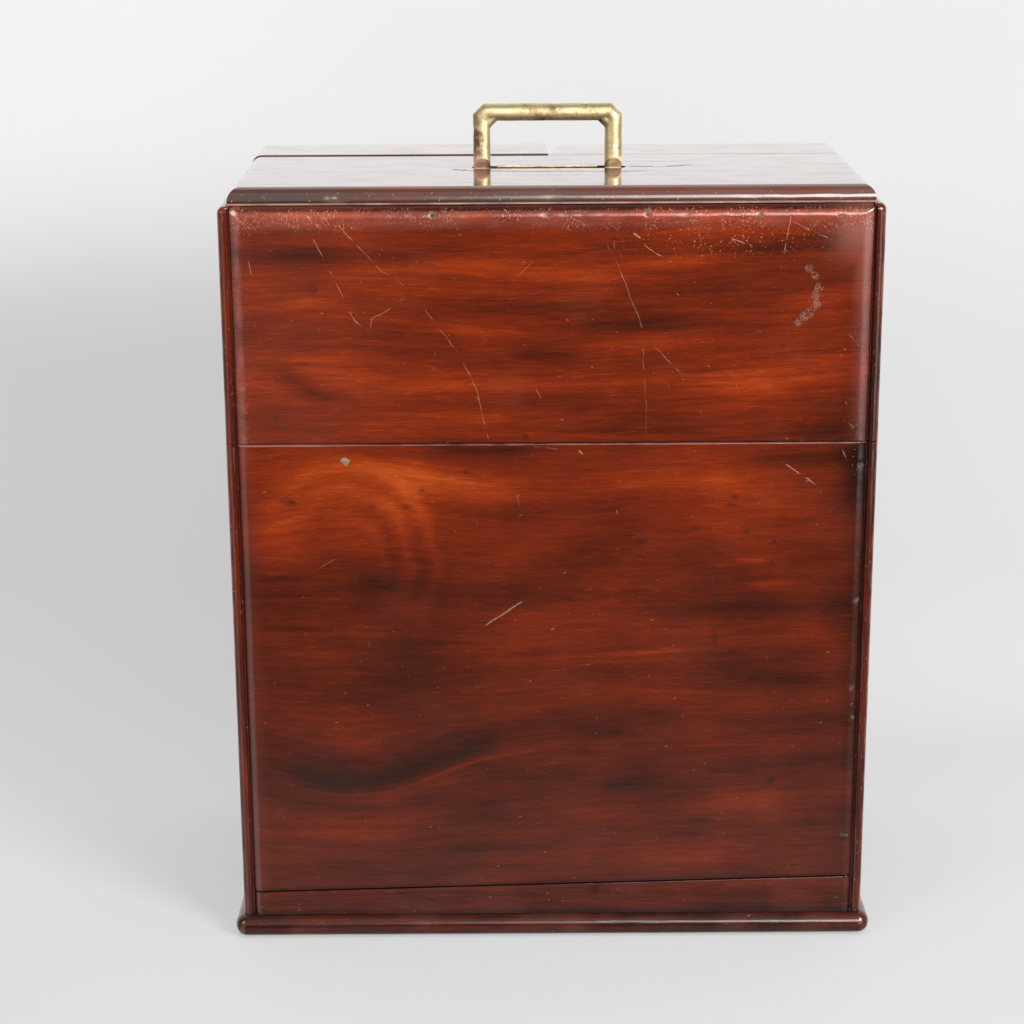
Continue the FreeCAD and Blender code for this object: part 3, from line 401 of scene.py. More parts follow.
# ------------------------------------------------ the boards of the front, each with its own figure and its own marks
def lid_bend(n, u, v):
    rise = n.mul(n.m("MAXIMUM", n.sub(u, 10.0), 0.0), 0.055)
    left = n.mul(n.blob(u, v, -150, 440, 60, 60), 7.0)
    return n.add(rise, left)


LID_TONE = [(-166, 491, 30, 4.2, -0.20, 0), (-170, 484, 40, 6, -0.09, 0), (-168, 404, 20, 7.5, -0.20, -32),
            (-146, 396, 18, 5.5, -0.12, -12), (140, 494, 34, 4.6, -0.17, 2), (100, 470, 60, 6, -0.10, 3),
            (192, 374, 34, 17, -0.30, 8), (205, 420, 12, 40, -0.12, 0), (190, 500, 26, 11, -0.20, 0),
            (84, 485, 34, 4.2, 0.20, 3), (-60, 483, 40, 5, 0.14, 0), (10, 476, 50, 4.5, 0.16, 0),
            (70, 431, 40, 6.5, 0.17, 3), (128, 402, 46, 15, 0.20, 5), (-165, 459, 20, 3.4, 0.17, 2),
            (-150, 420, 30, 4, 0.10, -3), (0, 455, 60, 6, -0.12, 0), (-40, 440, 50, 5, 0.08, 0), (60, 444, 50, 6, -0.16, 3),
            (140, 470, 40, 6, 0.12, 4), (-60, 380, 70, 8, 0.07, 0), (60, 372, 50, 4, -0.12, 0), (-10, 421, 30, 5, -0.14, -3),
            (-196, 445, 14, 26, 0.05, 0), (40, 505, 90, 6, 0.05, 0), (-120, 505, 60, 7, 0.08, 0)]
LID_LINES = [  # long scratches: from, to, half width, strength
    ((-142, 513), (-113, 481), 0.42, 0.50), ((-156, 501), (-131, 447), 0.45, 0.62), ((-131, 447), (-119.5, 439), 0.5, 0.80),
    ((-120, 439), (-119, 449), 0.4, 0.55), ((-119, 449), (-105, 456), 0.4, 0.60), ((-105, 456), (-97, 462), 0.35, 0.4),
    ((-84, 454), (-63, 425), 0.42, 0.42), ((-63, 425), (-50, 398), 0.42, 0.55), ((-50, 398), (-43, 366), 0.45, 0.45),
    ((-113, 481), (-98, 470), 0.4, 0.4), ((-12, 486), (-26, 473), 0.35, 0.35),
    ((28, 512), (45, 480), 0.45, 0.30), ((45, 480), (60, 441), 0.5, 0.40), ((60, 441), (64, 430), 0.4, 0.42),
    ((62, 434), (86, 410), 0.42, 0.45), ((60, 439), (63, 388), 0.40, 0.34), ((63, 388), (64, 365), 0.40, 0.2),
    ((156.5, 515), (151, 476), 0.45, 0.80), ((158, 511), (181, 500), 0.42, 0.66), ((176, 508), (189, 503), 0.32, 0.40),
    ((61, 496), (71, 489), 0.42, 0.75), ((70, 490), (79, 485), 0.40, 0.60), ((54, 504), (58, 501), 0.8, 0.9),
    ((119, 411), (127, 392), 0.3, 0.28), ((-137, 506), (-131, 502), 0.4, 0.4), ((41, 500), (41, 494), 0.4, 0.5),
    ((-28, 461), (8, 470), 0.3, 0.16), ((78, 437), (88, 430), 0.45, 0.4), ((110, 513), (126, 505), 0.35, 0.4),
    ((196, 378), (203, 372), 0.5, 0.6), ((198, 436), (204, 428), 0.35, 0.4), ((-11, 399), (-8, 393), 0.45, 0.45),
    ((-200, 488), (-198, 478), 0.6, 0.5), ((118, 500), (127, 497), 0.6, 0.6), ((96, 506), (98, 498), 0.35, 0.4)]


def lid_marks(i):
    n, u, v, P = i["n"], i["u"], i["v"], i["P"]
    i["tone"].append(spots(n, P, LID_TONE))
    wob = n.vm("SCALE", n.vm("SUBTRACT", n.noise_rgb(P, 0.06, 2.0), (0.5, 0.5, 0.5)), scale=3.2)
    Q = n.vm("ADD", P, wob)
    gate = n.span(n.noise(P, 0.28, 1.0), 0.32, 0.56, 0.6, 1.0)
    scr = n.mul(marks_on(n, Q, [(a, b, wide * THIN, k * FAINT) for a, b, wide, k in LID_LINES]), gate)
    # the top edge and the corners are covered with small knocks
    band = n.mul(n.span(v, 503, 512), n.span(v, 522, 519.5))
    patchy = n.span(n.noise(P, 0.05, 2.0), 0.40, 0.60, 0.1, 1.0)
    sides = n.add(n.mul(n.span(u, -196, -206), 0.34), n.mul(n.span(u, 198, 206), 0.28))
    where = n.m("MINIMUM", n.add(n.mul(band, patchy), n.mul(sides, 0.5)), 1.0)
    small = n.m("MAXIMUM", strokes(n, u, v, 74, 1.7, 0.36, 0.715, 1.0), strokes(n, u, v, -58, 1.8, 0.42, 0.72, 7.0))
    small = n.m("MAXIMUM", small, strokes(n, u, v, 20, 1.7, 0.42, 0.75, 13.0))
    bits = n.mul(n.mul(small, where), 0.62)
    rare = n.mul(strokes(n, u, v, -35, 0.9, 0.22, 0.845, 3.0), 0.3)
    specks = n.mul(n.span(n.noise(P, 0.62, 1.0), 0.89, 0.91), 0.45)
    near = n.m("MAXIMUM", n.blob(u, v, 120, 500, 60, 10), n.blob(u, v, 105, 495, 22, 8))
    bits2 = n.mul(n.mul(strokes(n, u, v, 40, 1.6, 0.45, 0.74, 21.0), near), 0.7)
    rims = spots(n, P, [(a, b, r, r, 1.0, 0) for a, b, r in
                        ((169.6, 480.6, 3.4), (174, 475, 3.0), (176.6, 467.6, 3.4), (174, 462, 3.2), (176, 456, 3.4),
                         (171, 451, 3.6), (167, 447.6, 3.6), (163, 443.6, 3.0))])
    rims = n.mul(n.span(rims, 0.35, 0.8), n.m("MAXIMUM", strokes(n, u, v, 60, 3.2, 1.5, 0.665, 31.0),
                                              strokes(n, u, v, -20, 3.4, 1.6, 0.69, 33.0)))
    i["scratch"] += [scr, bits, bits2, rare, specks, n.mul(rims, 0.75)]
    edge_worn = n.mul(n.span(v, 505, 512), n.span(v, 519.4, 517.2))
    worn = n.mul(n.mul(edge_worn, n.span(n.noise(P, 0.03, 3.0), 0.3, 0.62, 0.3, 1.0)), 0.25)
    # painted sheen: the pale patch at the top right corner
    worn = n.m("MAXIMUM", worn, n.mul(n.blob(u, v, 201, 505, 16, 17), 0.58))
    # painted highlight: a pale band down the right edge, strongest near the top
    down = n.span(v, 430, 500, 0.25, 1.0)
    worn = n.m("MAXIMUM", worn, n.mul(n.mul(n.mul(n.span(u, 196, 204), n.span(u, 210.5, 208)), down), 0.30))
    # painted highlight: a broken pale line just inside the left edge, added to a veil that grows paler towards the left
    painted_rim_highlight = n.mul(n.mul(n.span(u, -203.5, -206), n.span(u, -210.5, -208.5)), n.span(n.noise(P, 0.09, 3.0), 0.36, 0.62))
    left = n.mad(n.span(u, -60, -205), 0.07, n.mul(painted_rim_highlight, 0.26))
    # painted highlight: a small bright spot on the rounded upper left corner
    i["scratch"].append(n.mul(n.blob(u, v, -208.8, 518.6, 1.7, 1.3, -35), 1.5))
    cloud = n.mul(n.span(n.noise(P, 0.017, 2.0), 0.55, 0.75), 0.04)
    i["haze"] += [worn, left, cloud]
    # painted shade: darker along the top edge under the top board, along the bottom edge at the seam and at both ends
    # beside the side boards; the pits hold real dirt
    edge = n.mul(n.span(v, 521.4, 522.6), 0.8)
    foot = n.mul(n.span(v, 364.4, 362.8), 0.7)
    cheek = n.mul(n.span(n.m("ABSOLUTE", u), 210.9, 211.6), 0.35)
    pits = spots(n, P, [(a, b, r, r, 1.0, 0) for a, b, r in
                     ((169, 480, 2.4), (173, 476, 1.8), (176, 468, 2.2), (174, 463, 1.9), (175, 457, 2.2), (171, 452, 2.2),
                      (168, 449, 2.6), (164, 446, 2.4), (161, 443, 1.8), (153, 428, 1.6), (-185.8, 380.7, 2.4),
                      (-158.5, 467, 2.6), (41, 500, 1.6), (-18, 366.5, 2.0))])
    i["dirt"] += [edge, foot, cheek, n.mul(pits, 0.7)]
    tan = n.mul(n.mul(n.span(v, 509, 514), n.span(v, 519.6, 518)), n.span(n.noise(P, 0.045, 3.0), 0.34, 0.62, 0.25, 1.0))
    i["tone"].append(n.mul(tan, 0.16))
    i["tone"].append(n.mul(n.span(v, 518.4, 520.2), -0.30))
    plug = spots(n, P, [(-78.4, 517.2, 3.4, 2.6, 1, 0), (63, 518.6, 3.2, 2.2, 1, 0), (136.4, 515.8, 2.4, 2.2, 1, 0),
                        (190.2, 515.6, 2.0, 2.0, 1, 0)])
    i["rust"].append(n.mul(n.span(plug, 0.35, 0.7, 0.0, 0.5), n.span(u, 110, 90, 0.3, 1.0)))


def case_bend(n, u, v):
    low = n.mul(n.blob(u, v, -140, 122, 74, 52), -36.0)
    high = n.mul(n.blob(u, v, -132, 330, 60, 50), 20.0)
    drift = n.mul(n.m("MAXIMUM", n.sub(u, -20.0), 0.0), 0.05)
    return n.add(n.add(low, high), drift)


CASE_TONE = [(-118, 322, 96, 40, 0.15, -6), (-150, 334, 50, 22, 0.12, -8), (-112, 344, 40, 12, 0.10, -10), (-100, 322, 14, 22, 0.10, 25),
             (-180, 338, 26, 22, 0.10, 0), (-184, 305, 20, 16, 0.10, 20), (-60, 330, 40, 14, 0.10, 0),
             (-124, 262, 26, 30, -0.13, 30), (-100, 208, 40, 22, -0.13, 20), (98, 320, 90, 34, 0.12, -4), (105, 336, 60, 15, 0.10, -4),
             (150, 318, 28, 9, 0.10, -10), (60, 352, 60, 8, 0.04, 0), (20, 276, 50, 16, -0.06, 0),
             (-186, 268, 19, 2.0, -0.16, 1), (-178, 231, 24, 2.0, -0.13, -2), (-180, 255, 30, 1.6, -0.08, 0),
             (57, 212, 56, 1.9, 0.20, 3), (30, 206, 60, 4, 0.08, 2), (148, 262, 17, 2.6, 0.26, 2),
             (138, 279, 14, 3.0, 0.16, 0), (60, 262, 60, 5, 0.08, 4), (110, 244, 76, 8, -0.10, 0),
             (40, 154, 26, 4.0, -0.11, -3), (168, 154, 34, 4.4, -0.10, 0), (150, 196, 40, 8, -0.12, 0),
             (175, 212, 26, 5, -0.07, 0), (48, 115, 18, 4, -0.14, 0), (153, 117, 4, 3, -0.18, 30),
             (97, 76, 8, 3, -0.10, 0), (104, 87, 6, 2.4, -0.11, 0), (0, 120, 70, 10, -0.10, 0),
             (120, 98, 60, 7, 0.07, 2), (20, 92, 50, 6, 0.08, 3), (-150, 78, 40, 5, 0.10, -2), (-60, 100, 50, 14, -0.10, 0),
             (160, 176, 50, 6, 0.05, 2), (-20, 190, 50, 7, 0.06, 8), (214, 344, 18, 26, -0.42, 0), (214, 250, 12, 70, -0.26, 0),
             (214, 130, 10, 80, -0.10, 0), (196, 244, 14, 24, -0.15, 0), (-60, 356, 40, 5, -0.18, 0), (170, 350, 30, 5, -0.14, 0),
             (-208, 290, 7, 50, -0.10, 0), (-30, 312, 36, 10, -0.08, 0), (42, 185, 70, 10, 0.05, 0), (80, 58, 90, 7, 0.08, 1),
             (-120, 54, 60, 8, -0.06, 0), (130, 215, 110, 70, -0.06, 0)]


def case_marks(i):
    n, u, v, P, q = i["n"], i["u"], i["v"], i["P"], i["flat"]
    i["tone"].append(spots(n, P, CASE_TONE))
    i["tone"].append(n.mul(n.span(v, 235, 110), -0.05))
    # the deep dark band that sags across the lower left, and the pale line that follows it
    rag = n.mad(n.sub(n.noise(n.xyz(n.mul(u, 0.03), n.mul(v, 0.12), 3.0), detail=2.0), 0.5), 7.0, q)
    span = n.mul(n.span(u, -203, -165), n.span(u, 24, -62))
    band = n.mul(n.m("EXPONENT", n.mul(n.m("POWER", n.m("ABSOLUTE", n.mul(n.sub(rag, 153.5), 0.095)), 2.0), -1.0)), span)
    i["tone"].append(n.mul(n.mul(band, n.span(u, -20, -120, 0.45, 1.0)), -0.25))
    fine = n.m("EXPONENT", n.mul(n.m("POWER", n.m("ABSOLUTE", n.mul(n.sub(q, 141.2), 0.85)), 2.0), -1.0))
    i["tone"].append(n.mul(n.mul(fine, n.mul(n.span(u, -200, -180), n.span(u, 10, -60))), 0.13))
    fine2 = n.m("EXPONENT", n.mul(n.m("POWER", n.m("ABSOLUTE", n.mul(n.sub(q, 76.4), 0.8)), 2.0), -1.0))
    i["tone"].append(n.mul(n.mul(fine2, n.mul(n.span(u, -212, -190), n.span(u, 20, -40))), 0.08))
    # rings of the curl at the upper left
    du, dv = n.sub(u, -140.0), n.sub(v, 279.0)
    r = n.m("SQRT", n.add(n.mul(du, du), n.mul(n.mul(dv, dv), 0.72)))
    r = n.mad(n.sub(n.noise(P, 0.03, 2.0), 0.5), 14.0, r)
    ring = n.m("SINE", n.mul(r, 0.34))
    side = n.mul(n.mul(n.span(n.add(du, dv), 4, 34), n.span(r, 82, 54)), n.span(r, 16, 26))
    i["tone"].append(n.mul(n.mul(ring, side), 0.05))
    wob = n.vm("SCALE", n.vm("SUBTRACT", n.noise_rgb(P, 0.05, 2.0), (0.5, 0.5, 0.5)), scale=3.0)
    Q = n.vm("ADD", P, wob)
    gate = n.span(n.noise(P, 0.3, 1.0), 0.32, 0.56, 0.6, 1.0)
    lines = [(( -46, 233), (-21, 250), 0.85, 0.5), ((156, 348), (180, 331), 0.4, 0.5), ((-12, 360), (4, 358), 0.4, 0.3),
             ((-160, 274), (-148, 281), 0.4, 0.35), ((18, 357), (20, 355), 0.8, 0.9), ((44, 315), (44, 312), 0.6, 0.7),
             ((-131, 205), (-125, 221), 0.35, 0.2), ((60, 253), (74, 257), 0.35, 0.3), ((-24, 326), (-22, 318), 0.5, 0.3),
             ((0, 199), (40, 206), 0.35, 0.25), ((196, 356), (199, 349), 0.6, 0.6), ((118, 355), (121, 358), 0.6, 0.5)]
    scr = n.mul(marks_on(n, Q, [(a, b, w * THIN, k * FAINT) for a, b, w, k in lines]), gate)
    specks = n.mul(n.span(n.noise(P, 0.55, 1.0), 0.892, 0.912), 0.5)
    rare = n.mul(strokes(n, u, v, 25, 0.9, 0.2, 0.845, 5.0), 0.25)
    corner = n.mul(n.span(n.noise(P, 0.8, 1.0), 0.74, 0.78), n.mul(n.blob(u, v, 205, 350, 8, 14), 0.8))
    i["scratch"] += [scr, specks, rare, corner]
    arr = n.mul(n.span(v, 360.4, 361.4), n.mul(n.span(n.noise(P, 0.05, 2.0), 0.35, 0.6, 0.3, 1.0), 0.5))
    # the last entry is a painted highlight: a pale line on the top arris at the left end
    i["haze"] += [n.mul(n.span(v, 190, 40), 0.03), n.mul(n.span(n.noise(P, 0.015, 2.0), 0.5, 0.75), 0.03), arr,
                  n.mul(n.span(u, -196, -209), 0.06), n.mul(n.mul(n.span(v, 360.0, 361.0), n.span(u, -128, -160)), 0.5)]
    stains = spots(n, P, [(a, b, r, s, 1.0, 0) for a, b, r, s in
                      ((-180, 323, 5, 2.6), (-176, 321.5, 2.4, 1.8), (190.1, 312.9, 2.2, 1.8), (-99, 318, 4, 2), (132, 300, 3, 2),
                       (-122, 318, 3, 1.6), (152, 292, 2.4, 1.4), (114, 283, 2.0, 1.4), (60, 293, 4, 3), (204.7, 76.5, 3.6, 3.0),
                       (-58, 342, 3, 1.4), (96, 302, 5, 1.6), (122, 318, 4, 1.6), (124, 324, 2, 1.4), (150, 277, 2.2, 1.4),
                       (-88, 330, 2, 1.6), (-107, 304, 2, 1.4), (11, 252, 3, 1.4), (112, 222, 1.6, 4.4), (62, 98, 2, 1.4))])
    # painted shade: darker along the sloping joint with the rail, at both ends beside the side boards and along the top
    # under the lid towards the left; the stains are real
    low = n.mul(n.span(n.add(v, n.mul(u, -0.0241)), 42.5, 40.3), 0.8)
    cheek = n.mul(n.span(n.m("ABSOLUTE", u), 210.6, 211.5), 0.5)
    i["dirt"] += [n.mul(stains, 0.6), low, cheek, n.mul(n.span(v, 358.6, 361.8), n.mul(n.span(u, 120, -60), 0.35))]
    nails = spots(n, P, [(a, b, 2.4, 2.2, 1.0, 0) for a, b in ((207.9, 345.8), (209.3, 249.9), (208, 186),
                                                               (204.7, 75.1))])
    i["rust"].append(n.span(nails, 0.4, 0.75, 0.0, 0.3))


def rail_marks(i):
    n, u, v, P = i["n"], i["u"], i["v"], i["P"]
    slope = n.add(v, n.mul(u, -0.0241))
    # painted shade: darker at the foot above the base board, along the sloping joint and at both ends beside the side
    # boards
    i["dirt"] += [n.mul(n.span(v, 22.0, 17.5), 0.9), n.mul(n.span(slope, 37.3, 38.4), 0.7),
                  n.mul(n.span(n.m("ABSOLUTE", u), 209.6, 211.4), 0.8)]
    i["haze"].append(n.mul(n.span(n.noise(P, 0.02, 3.0), 0.4, 0.7), 0.06))
    i["scratch"].append(n.mul(strokes(n, u, v, 12, 1.0, 0.2, 0.83, 2.0), 0.35))


def side_marks(i):
    n = i["n"]
    x, y, z = n.x, n.y, n.z
    ax = n.m("ABSOLUTE", x)
    front = n.span(y, -112.5, -115.5)
    front = n.span(y, -111.5, -113.5)
    # painted shade: darker in the quirk, where the front board laps the side, and at the foot above the base board
    quirk = n.mul(n.mul(n.span(ax, 212.4, 213.0), n.span(ax, 213.9, 213.5)), front)
    lap = n.mul(n.span(ax, 212.8, 212.0), front)
    worn = n.mul(n.mul(n.span(ax, 217.4, 218.6), front), n.span(n.noise(n.p, 0.05, 3.0), 0.40, 0.62))
    i["dirt"] += [n.mul(quirk, 0.7), n.mul(lap, 0.3), n.mul(n.span(z, 22, 17), 0.8)]
    i["haze"].append(n.mul(worn, 0.35))
    thin = n.span(n.noise(n.p, 0.02, 2.0), 0.45, 0.7, 0.1, 1.0)
    i["scratch"].append(n.mul(n.mul(strokes(n, n.add(y, x), z, 30, 0.7, 0.12, 0.80, 4.0), thin), 0.35))
    i["scratch"].append(n.mul(n.mul(strokes(n, x, z, 80, 1.2, 0.25, 0.76, 8.0), front), 0.22))


def top_marks(i):
    n, u, v, P = i["n"], i["u"], i["v"], i["P"]
    wob = n.vm("SCALE", n.vm("SUBTRACT", n.noise_rgb(P, 0.07, 3.0), (0.5, 0.5, 0.5)), scale=2.4)
    Q = n.vm("ADD", P, wob)
    up = n.span(n.z, 533.0, 533.6)
    cracks = [((-65, -27), (-55, -33)), ((-55, -33), (-34, -36.5)), ((-34, -36.5), (34, -39.7)), ((34, -39.7), (49, -40.3)),
              ((49, -40.3), (65, -38)), ((56, -15.5), (77, -19.8)), ((77, -19.8), (98, -10.7))]
    i["gap"].append(n.mul(n.mul(marks_on(n, Q, [(a, b, 0.75, 1.0) for a, b in cracks]), up), 0.95))
    dents = spots(n, P, [(a, b, 3.0, 2.2, 1.0, 0) for a, b in
                         ((-205, 86.6), (-202.5, 16.9), (-202.8, -61.8), (194, 80.7), (204.6, 0), (207, -87), (-120, -88),
                          (60, -95))])
    # painted light: the edges are darker towards the left and lighter towards the right, where the key lamp stands
    i["tone"].append(n.mul(n.span(n.z, 533.4, 532.2), n.span(u, -160, 190, -0.08, 0.10)))
    # painted shade: darker in the fillet under the ovolo and a little on the ovolo itself; the dents hold real dirt
    edge = n.mul(n.span(n.z, 531.4, 529.8), n.span(n.z, 524.4, 526.0))
    i["dirt"] += [n.mul(dents, 0.8), n.mul(n.mul(n.span(n.z, 526.0, 525.2), n.span(n.z, 524.0, 524.4)), 0.7), n.mul(edge, 0.15)]
    i["scratch"].append(n.mul(strokes(n, u, v, 34, 0.9, 0.16, 0.80, 2.0), 0.15))
    i["scratch"].append(n.mul(n.mul(strokes(n, u, n.add(v, n.z), 70, 1.1, 0.3, 0.77, 6.0), edge), 0.6))
    # painted highlight on the chip in the ovolo
    i["scratch"].append(n.mul(n.mul(n.blob(u, n.z, -142.5, 527.4, 1.4, 0.8), n.span(v, -100, -104)), 0.6))
    # painted highlight: a bright broken line along the foot of the fillet, on the front board only
    painted_rim_highlight = n.mul(n.mul(n.span(n.z, 522.8, 523.1), n.span(n.z, 524.3, 523.9)), n.span(n.noise(P, 0.05, 3.0), 0.30, 0.62, 0.35, 1.0))
    i["scratch"].append(n.mul(n.mul(painted_rim_highlight, n.span(v, -100, -104)), 0.6))


def base_marks(i):
    n, u, v, P = i["n"], i["u"], i["v"], i["P"]
    # painted shade: darker on the moulding's top where it meets the case, and along its underside; the noise is real
    # grime
    i["dirt"] += [n.mul(n.span(n.z, 13.6, 15.8), n.mul(n.span(n.m("MAXIMUM", n.m("ABSOLUTE", n.x), n.add(n.m("ABSOLUTE", n.y), 103.0)), 222.4, 220.4), 0.9)),
                  n.mul(n.span(n.z, 2.4, 0.4), 0.8), n.mul(n.span(n.noise(n.p, 0.02, 3.0), 0.45, 0.7), 0.4)]
    i["scratch"].append(n.mul(strokes(n, n.x, n.z, 20, 1.1, 0.18, 0.82, 2.0), 0.4))
    i["scratch"].append(n.mul(n.span(n.noise(n.p, 0.6, 1.0), 0.87, 0.89), 0.5))
    i["haze"].append(n.mul(n.span(n.noise(n.p, 0.03, 3.0), 0.42, 0.7), 0.10))


def plain_marks(i):
    n = i["n"]
    thin = n.span(n.noise(n.p, 0.02, 2.0), 0.45, 0.7, 0.1, 1.0)
    i["scratch"].append(n.mul(n.mul(strokes(n, i["u"], i["v"], 24, 0.7, 0.10, 0.80, 2.0), thin), 0.35))
    i["haze"].append(n.mul(n.span(n.noise(n.p, 0.014, 3.0), 0.48, 0.75), 0.07))


def handle_marks(i):
    n, P = i["n"], i["n"].p
    x, z = n.x, n.z
    left = n.mul(n.blob(x, z, -48.6, 554, 4.4, 15), n.span(n.noise(P, 0.22, 3.0), 0.30, 0.52))
    top = n.mul(n.m("MAXIMUM", n.blob(x, z, 3.0, 574, 5.5, 3.6), n.blob(x, z, -6, 568, 9, 3.2)), n.span(n.noise(P, 0.35, 3.0), 0.34, 0.6))
    right = n.m("MAXIMUM", n.blob(x, z, 42, 572, 3.0, 7, -25), n.blob(x, z, 36, 566, 6, 3.6))
    right = n.mul(right, n.span(n.noise(P, 0.3, 3.0), 0.3, 0.6))
    feet = n.mul(n.span(z, 536.4, 534.2), 0.8)
    inner = n.mul(n.mul(n.span(z, 566.5, 565.0), n.span(z, 560, 563)), 0.0)
    dark = n.m("MINIMUM", total(n, [n.mul(left, 0.95), n.mul(top, 0.8), n.mul(right, 0.7), n.mul(feet, 0.7), inner]), 1.0)
    i["col"] = n.mix(dark, i["col"], lin(86, 52, 42))
    # painted reflection: the cut facets at the feet get a pale copper-pink colour and no metal, for the lit wood they
    # mirror
    facet_reflection = n.mul(n.span(z, 543.5, 540.5), n.span(n.noise(P, 0.2, 2.0), 0.3, 0.55, 0.6, 1.0))
    facet_reflection = n.mul(facet_reflection, n.span(n.m("ABSOLUTE", n.add(x, 1.2)), 40, 44))
    i["metal"] = n.mad(facet_reflection, -1.0, 1.0)
    i["col"] = n.mix(facet_reflection, i["col"], n.mix(n.span(x, -20, 20), lin(232, 176, 152), lin(242, 202, 150)))
    i["h"] = n.add(i["h"], n.mul(dark, -1.0))
    i["ro"] = n.mad(dark, 0.12, i["ro"])
    shine = n.span(n.noise(n.xyz(n.mul(x, 0.5), n.mul(n.y, 0.5), n.mul(z, 0.06)), detail=3.0), 0.5, 0.7)
    i["col"] = n.mix(n.mul(shine, 0.35), i["col"], lin(224, 208, 164))


def channel_painted_light(i):
    # painted light: a pale cream rim as a painted highlight, over brown below it as painted shade down in the slot
    n = i["n"]
    ragged = n.mad(n.sub(n.noise(n.p, 0.12, 3.0), 0.5), 1.1, n.z)
    i["col"] = n.mix(n.span(ragged, 533.5, 532.9), i["col"], lin(84, 56, 42))


def _noise_rgb(self, vec, scale=1.0, detail=2.0, rough=0.5):
    n = self.t.nodes.new("ShaderNodeTexNoise")
    self.put(n.inputs["Vector"], vec)
    n.inputs["Scale"].default_value = scale
    n.inputs["Detail"].default_value = detail
    n.inputs["Roughness"].default_value = rough
    return n.outputs[1]


Net.noise_rgb = _noise_rgb

# ----------------------------------------------------------------- materials
M = {}
M["case"] = wood("case_wood", "X", "Z", tone=0.390, seed=1.0, warp=case_bend, marks=case_marks, wander=16, bands=0.20,
                 streaks=0.13, blotch=0.18, fine=0.24, flecks=0.15)
M["lid"] = wood("lid_wood", "X", "Z", tone=0.482, seed=2.0, warp=lid_bend, marks=lid_marks, wander=12, bands=0.26,
                streaks=0.19, blotch=0.14, fine=0.26, flecks=0.15)
M["rail"] = wood("rail_wood", "X", "Z", tone=0.33, streaks=0.2, fine=0.28, seed=7.0, marks=rail_marks)
M["back"] = wood("back_wood", "X", "Z", tone=0.42, seed=8.0, marks=plain_marks, rough=0.42)
M["side"] = wood("side_wood", "Z", "Y", tone=0.33, streaks=0.2, fine=0.28, seed=3.0, marks=side_marks)
M["top"] = wood("top_wood", "X", "Y", tone=0.36, seed=4.0, marks=top_marks, rough=0.16, coat_rough=0.05, coat_ior=1.75,
                dust=0.13, sheen=0.03, bands=0.09, streaks=0.04, fine=0.05, flecks=0.0, bump=0.00002)
M["top_edge"] = wood("top_edge_wood", "X", "Y", tone=0.35, seed=4.0, marks=top_marks)
M["base"] = wood("base_wood", "X", "Y", tone=0.29, streaks=0.2, fine=0.28, seed=5.0, marks=base_marks)
M["inner"] = wood("inner_wood", "X", "Z", tone=0.56, seed=6.0, coat=0.25, coat_rough=0.35, rough=0.5, marks=plain_marks)
M["inner_up"] = wood("inner_wood_upright", "Z", "Y", tone=0.55, seed=9.0, coat=0.25, coat_rough=0.35, rough=0.5,
                     marks=plain_marks)
M["inner_flat"] = wood("inner_wood_flat", "X", "Y", tone=0.57, seed=10.0, coat=0.25, coat_rough=0.35, rough=0.5,
                       marks=plain_marks)
M["inner_deep"] = wood("inner_wood_deep", "Y", "Z", tone=0.55, seed=11.0, coat=0.25, coat_rough=0.35, rough=0.5,
                       marks=plain_marks)
M["handle"] = brass("old_brass", light=(204, 187, 144), dark=(128, 103, 72), marks=handle_marks, rough=0.49, old=0.66)
M["fittings"] = brass("fitting_brass", seed=2.0, rough=0.30)
# the pale cream of this brass is the painted highlight on the channel's rim
M["channel"] = brass("channel_brass", light=(236, 222, 190), dark=(168, 136, 98), seed=3.0, rough=0.38, marks=channel_painted_light)
M["iron"] = brass("iron", light=(104, 90, 80), dark=(50, 37, 31), seed=4.0, rough=0.5)
M["filler"] = brass("filler", light=(128, 108, 88), dark=(50, 38, 32), seed=9.0, rough=0.55, metal=0.3, old=1.0)


def ink_glass():
    n = Net("ink_glass")
    seeds = n.span(n.noise(n.p, 0.9, 1.0), 0.74, 0.80)
    wav = n.noise(n.p, 0.09, 2.0)
    grime = n.span(n.noise(n.p, 0.12, 3.0), 0.5, 0.75)
    col = n.mix(n.mul(grime, 0.25), lin(214, 230, 222), lin(150, 160, 150))
    return n.shade(Base_Color=col, Roughness=n.mad(grime, 0.14, 0.05), Transmission_Weight=1.0, IOR=1.5,
                   Normal=n.bump(n.add(n.mul(wav, 1.5), n.mul(seeds, 0.6)), 0.0002))


M["glass"] = ink_glass()

# ---------------------------------------------------------------- mesh tools
rng = np.random.default_rng(17)
LATTICE = rng.uniform(-1, 1, 4096)


def vnoise(p, seed=0):
    """Smooth noise, -1 to 1, at each row of p."""
    i = np.floor(p).astype(np.int64)
    f = p - i
    w = f * f * (3 - 2 * f)
    out = np.zeros(len(p))
    for dx in (0, 1):
        kx = w[:, 0] if dx else 1 - w[:, 0]
        for dy in (0, 1):
            ky = w[:, 1] if dy else 1 - w[:, 1]
            for dz in (0, 1):
                kz = w[:, 2] if dz else 1 - w[:, 2]
                h = ((i[:, 0] + dx) * 73856093) ^ ((i[:, 1] + dy) * 19349663) ^ ((i[:, 2] + dz) * 83492791) ^ (seed * 2654435)
                out += LATTICE[h & 4095] * kx * ky * kz
    return out


def wavy(p, size, seed=0):
    """Two octaves of noise whose hollows are about size millimetres wide."""
    return vnoise(p / size, seed) * 0.7 + vnoise(p / (size * 0.37), seed + 5) * 0.3


def dress(o, mat, sharp=36):
    me = o.data
    me.materials.clear()
    me.materials.append(mat)
    me.shade_smooth()
    me.set_sharp_from_angle(angle=math.radians(sharp))
    wn = o.modifiers.new("even", "WEIGHTED_NORMAL")
    wn.keep_sharp = True
    wn.weight = 60
    scene.collection.objects.link(o)


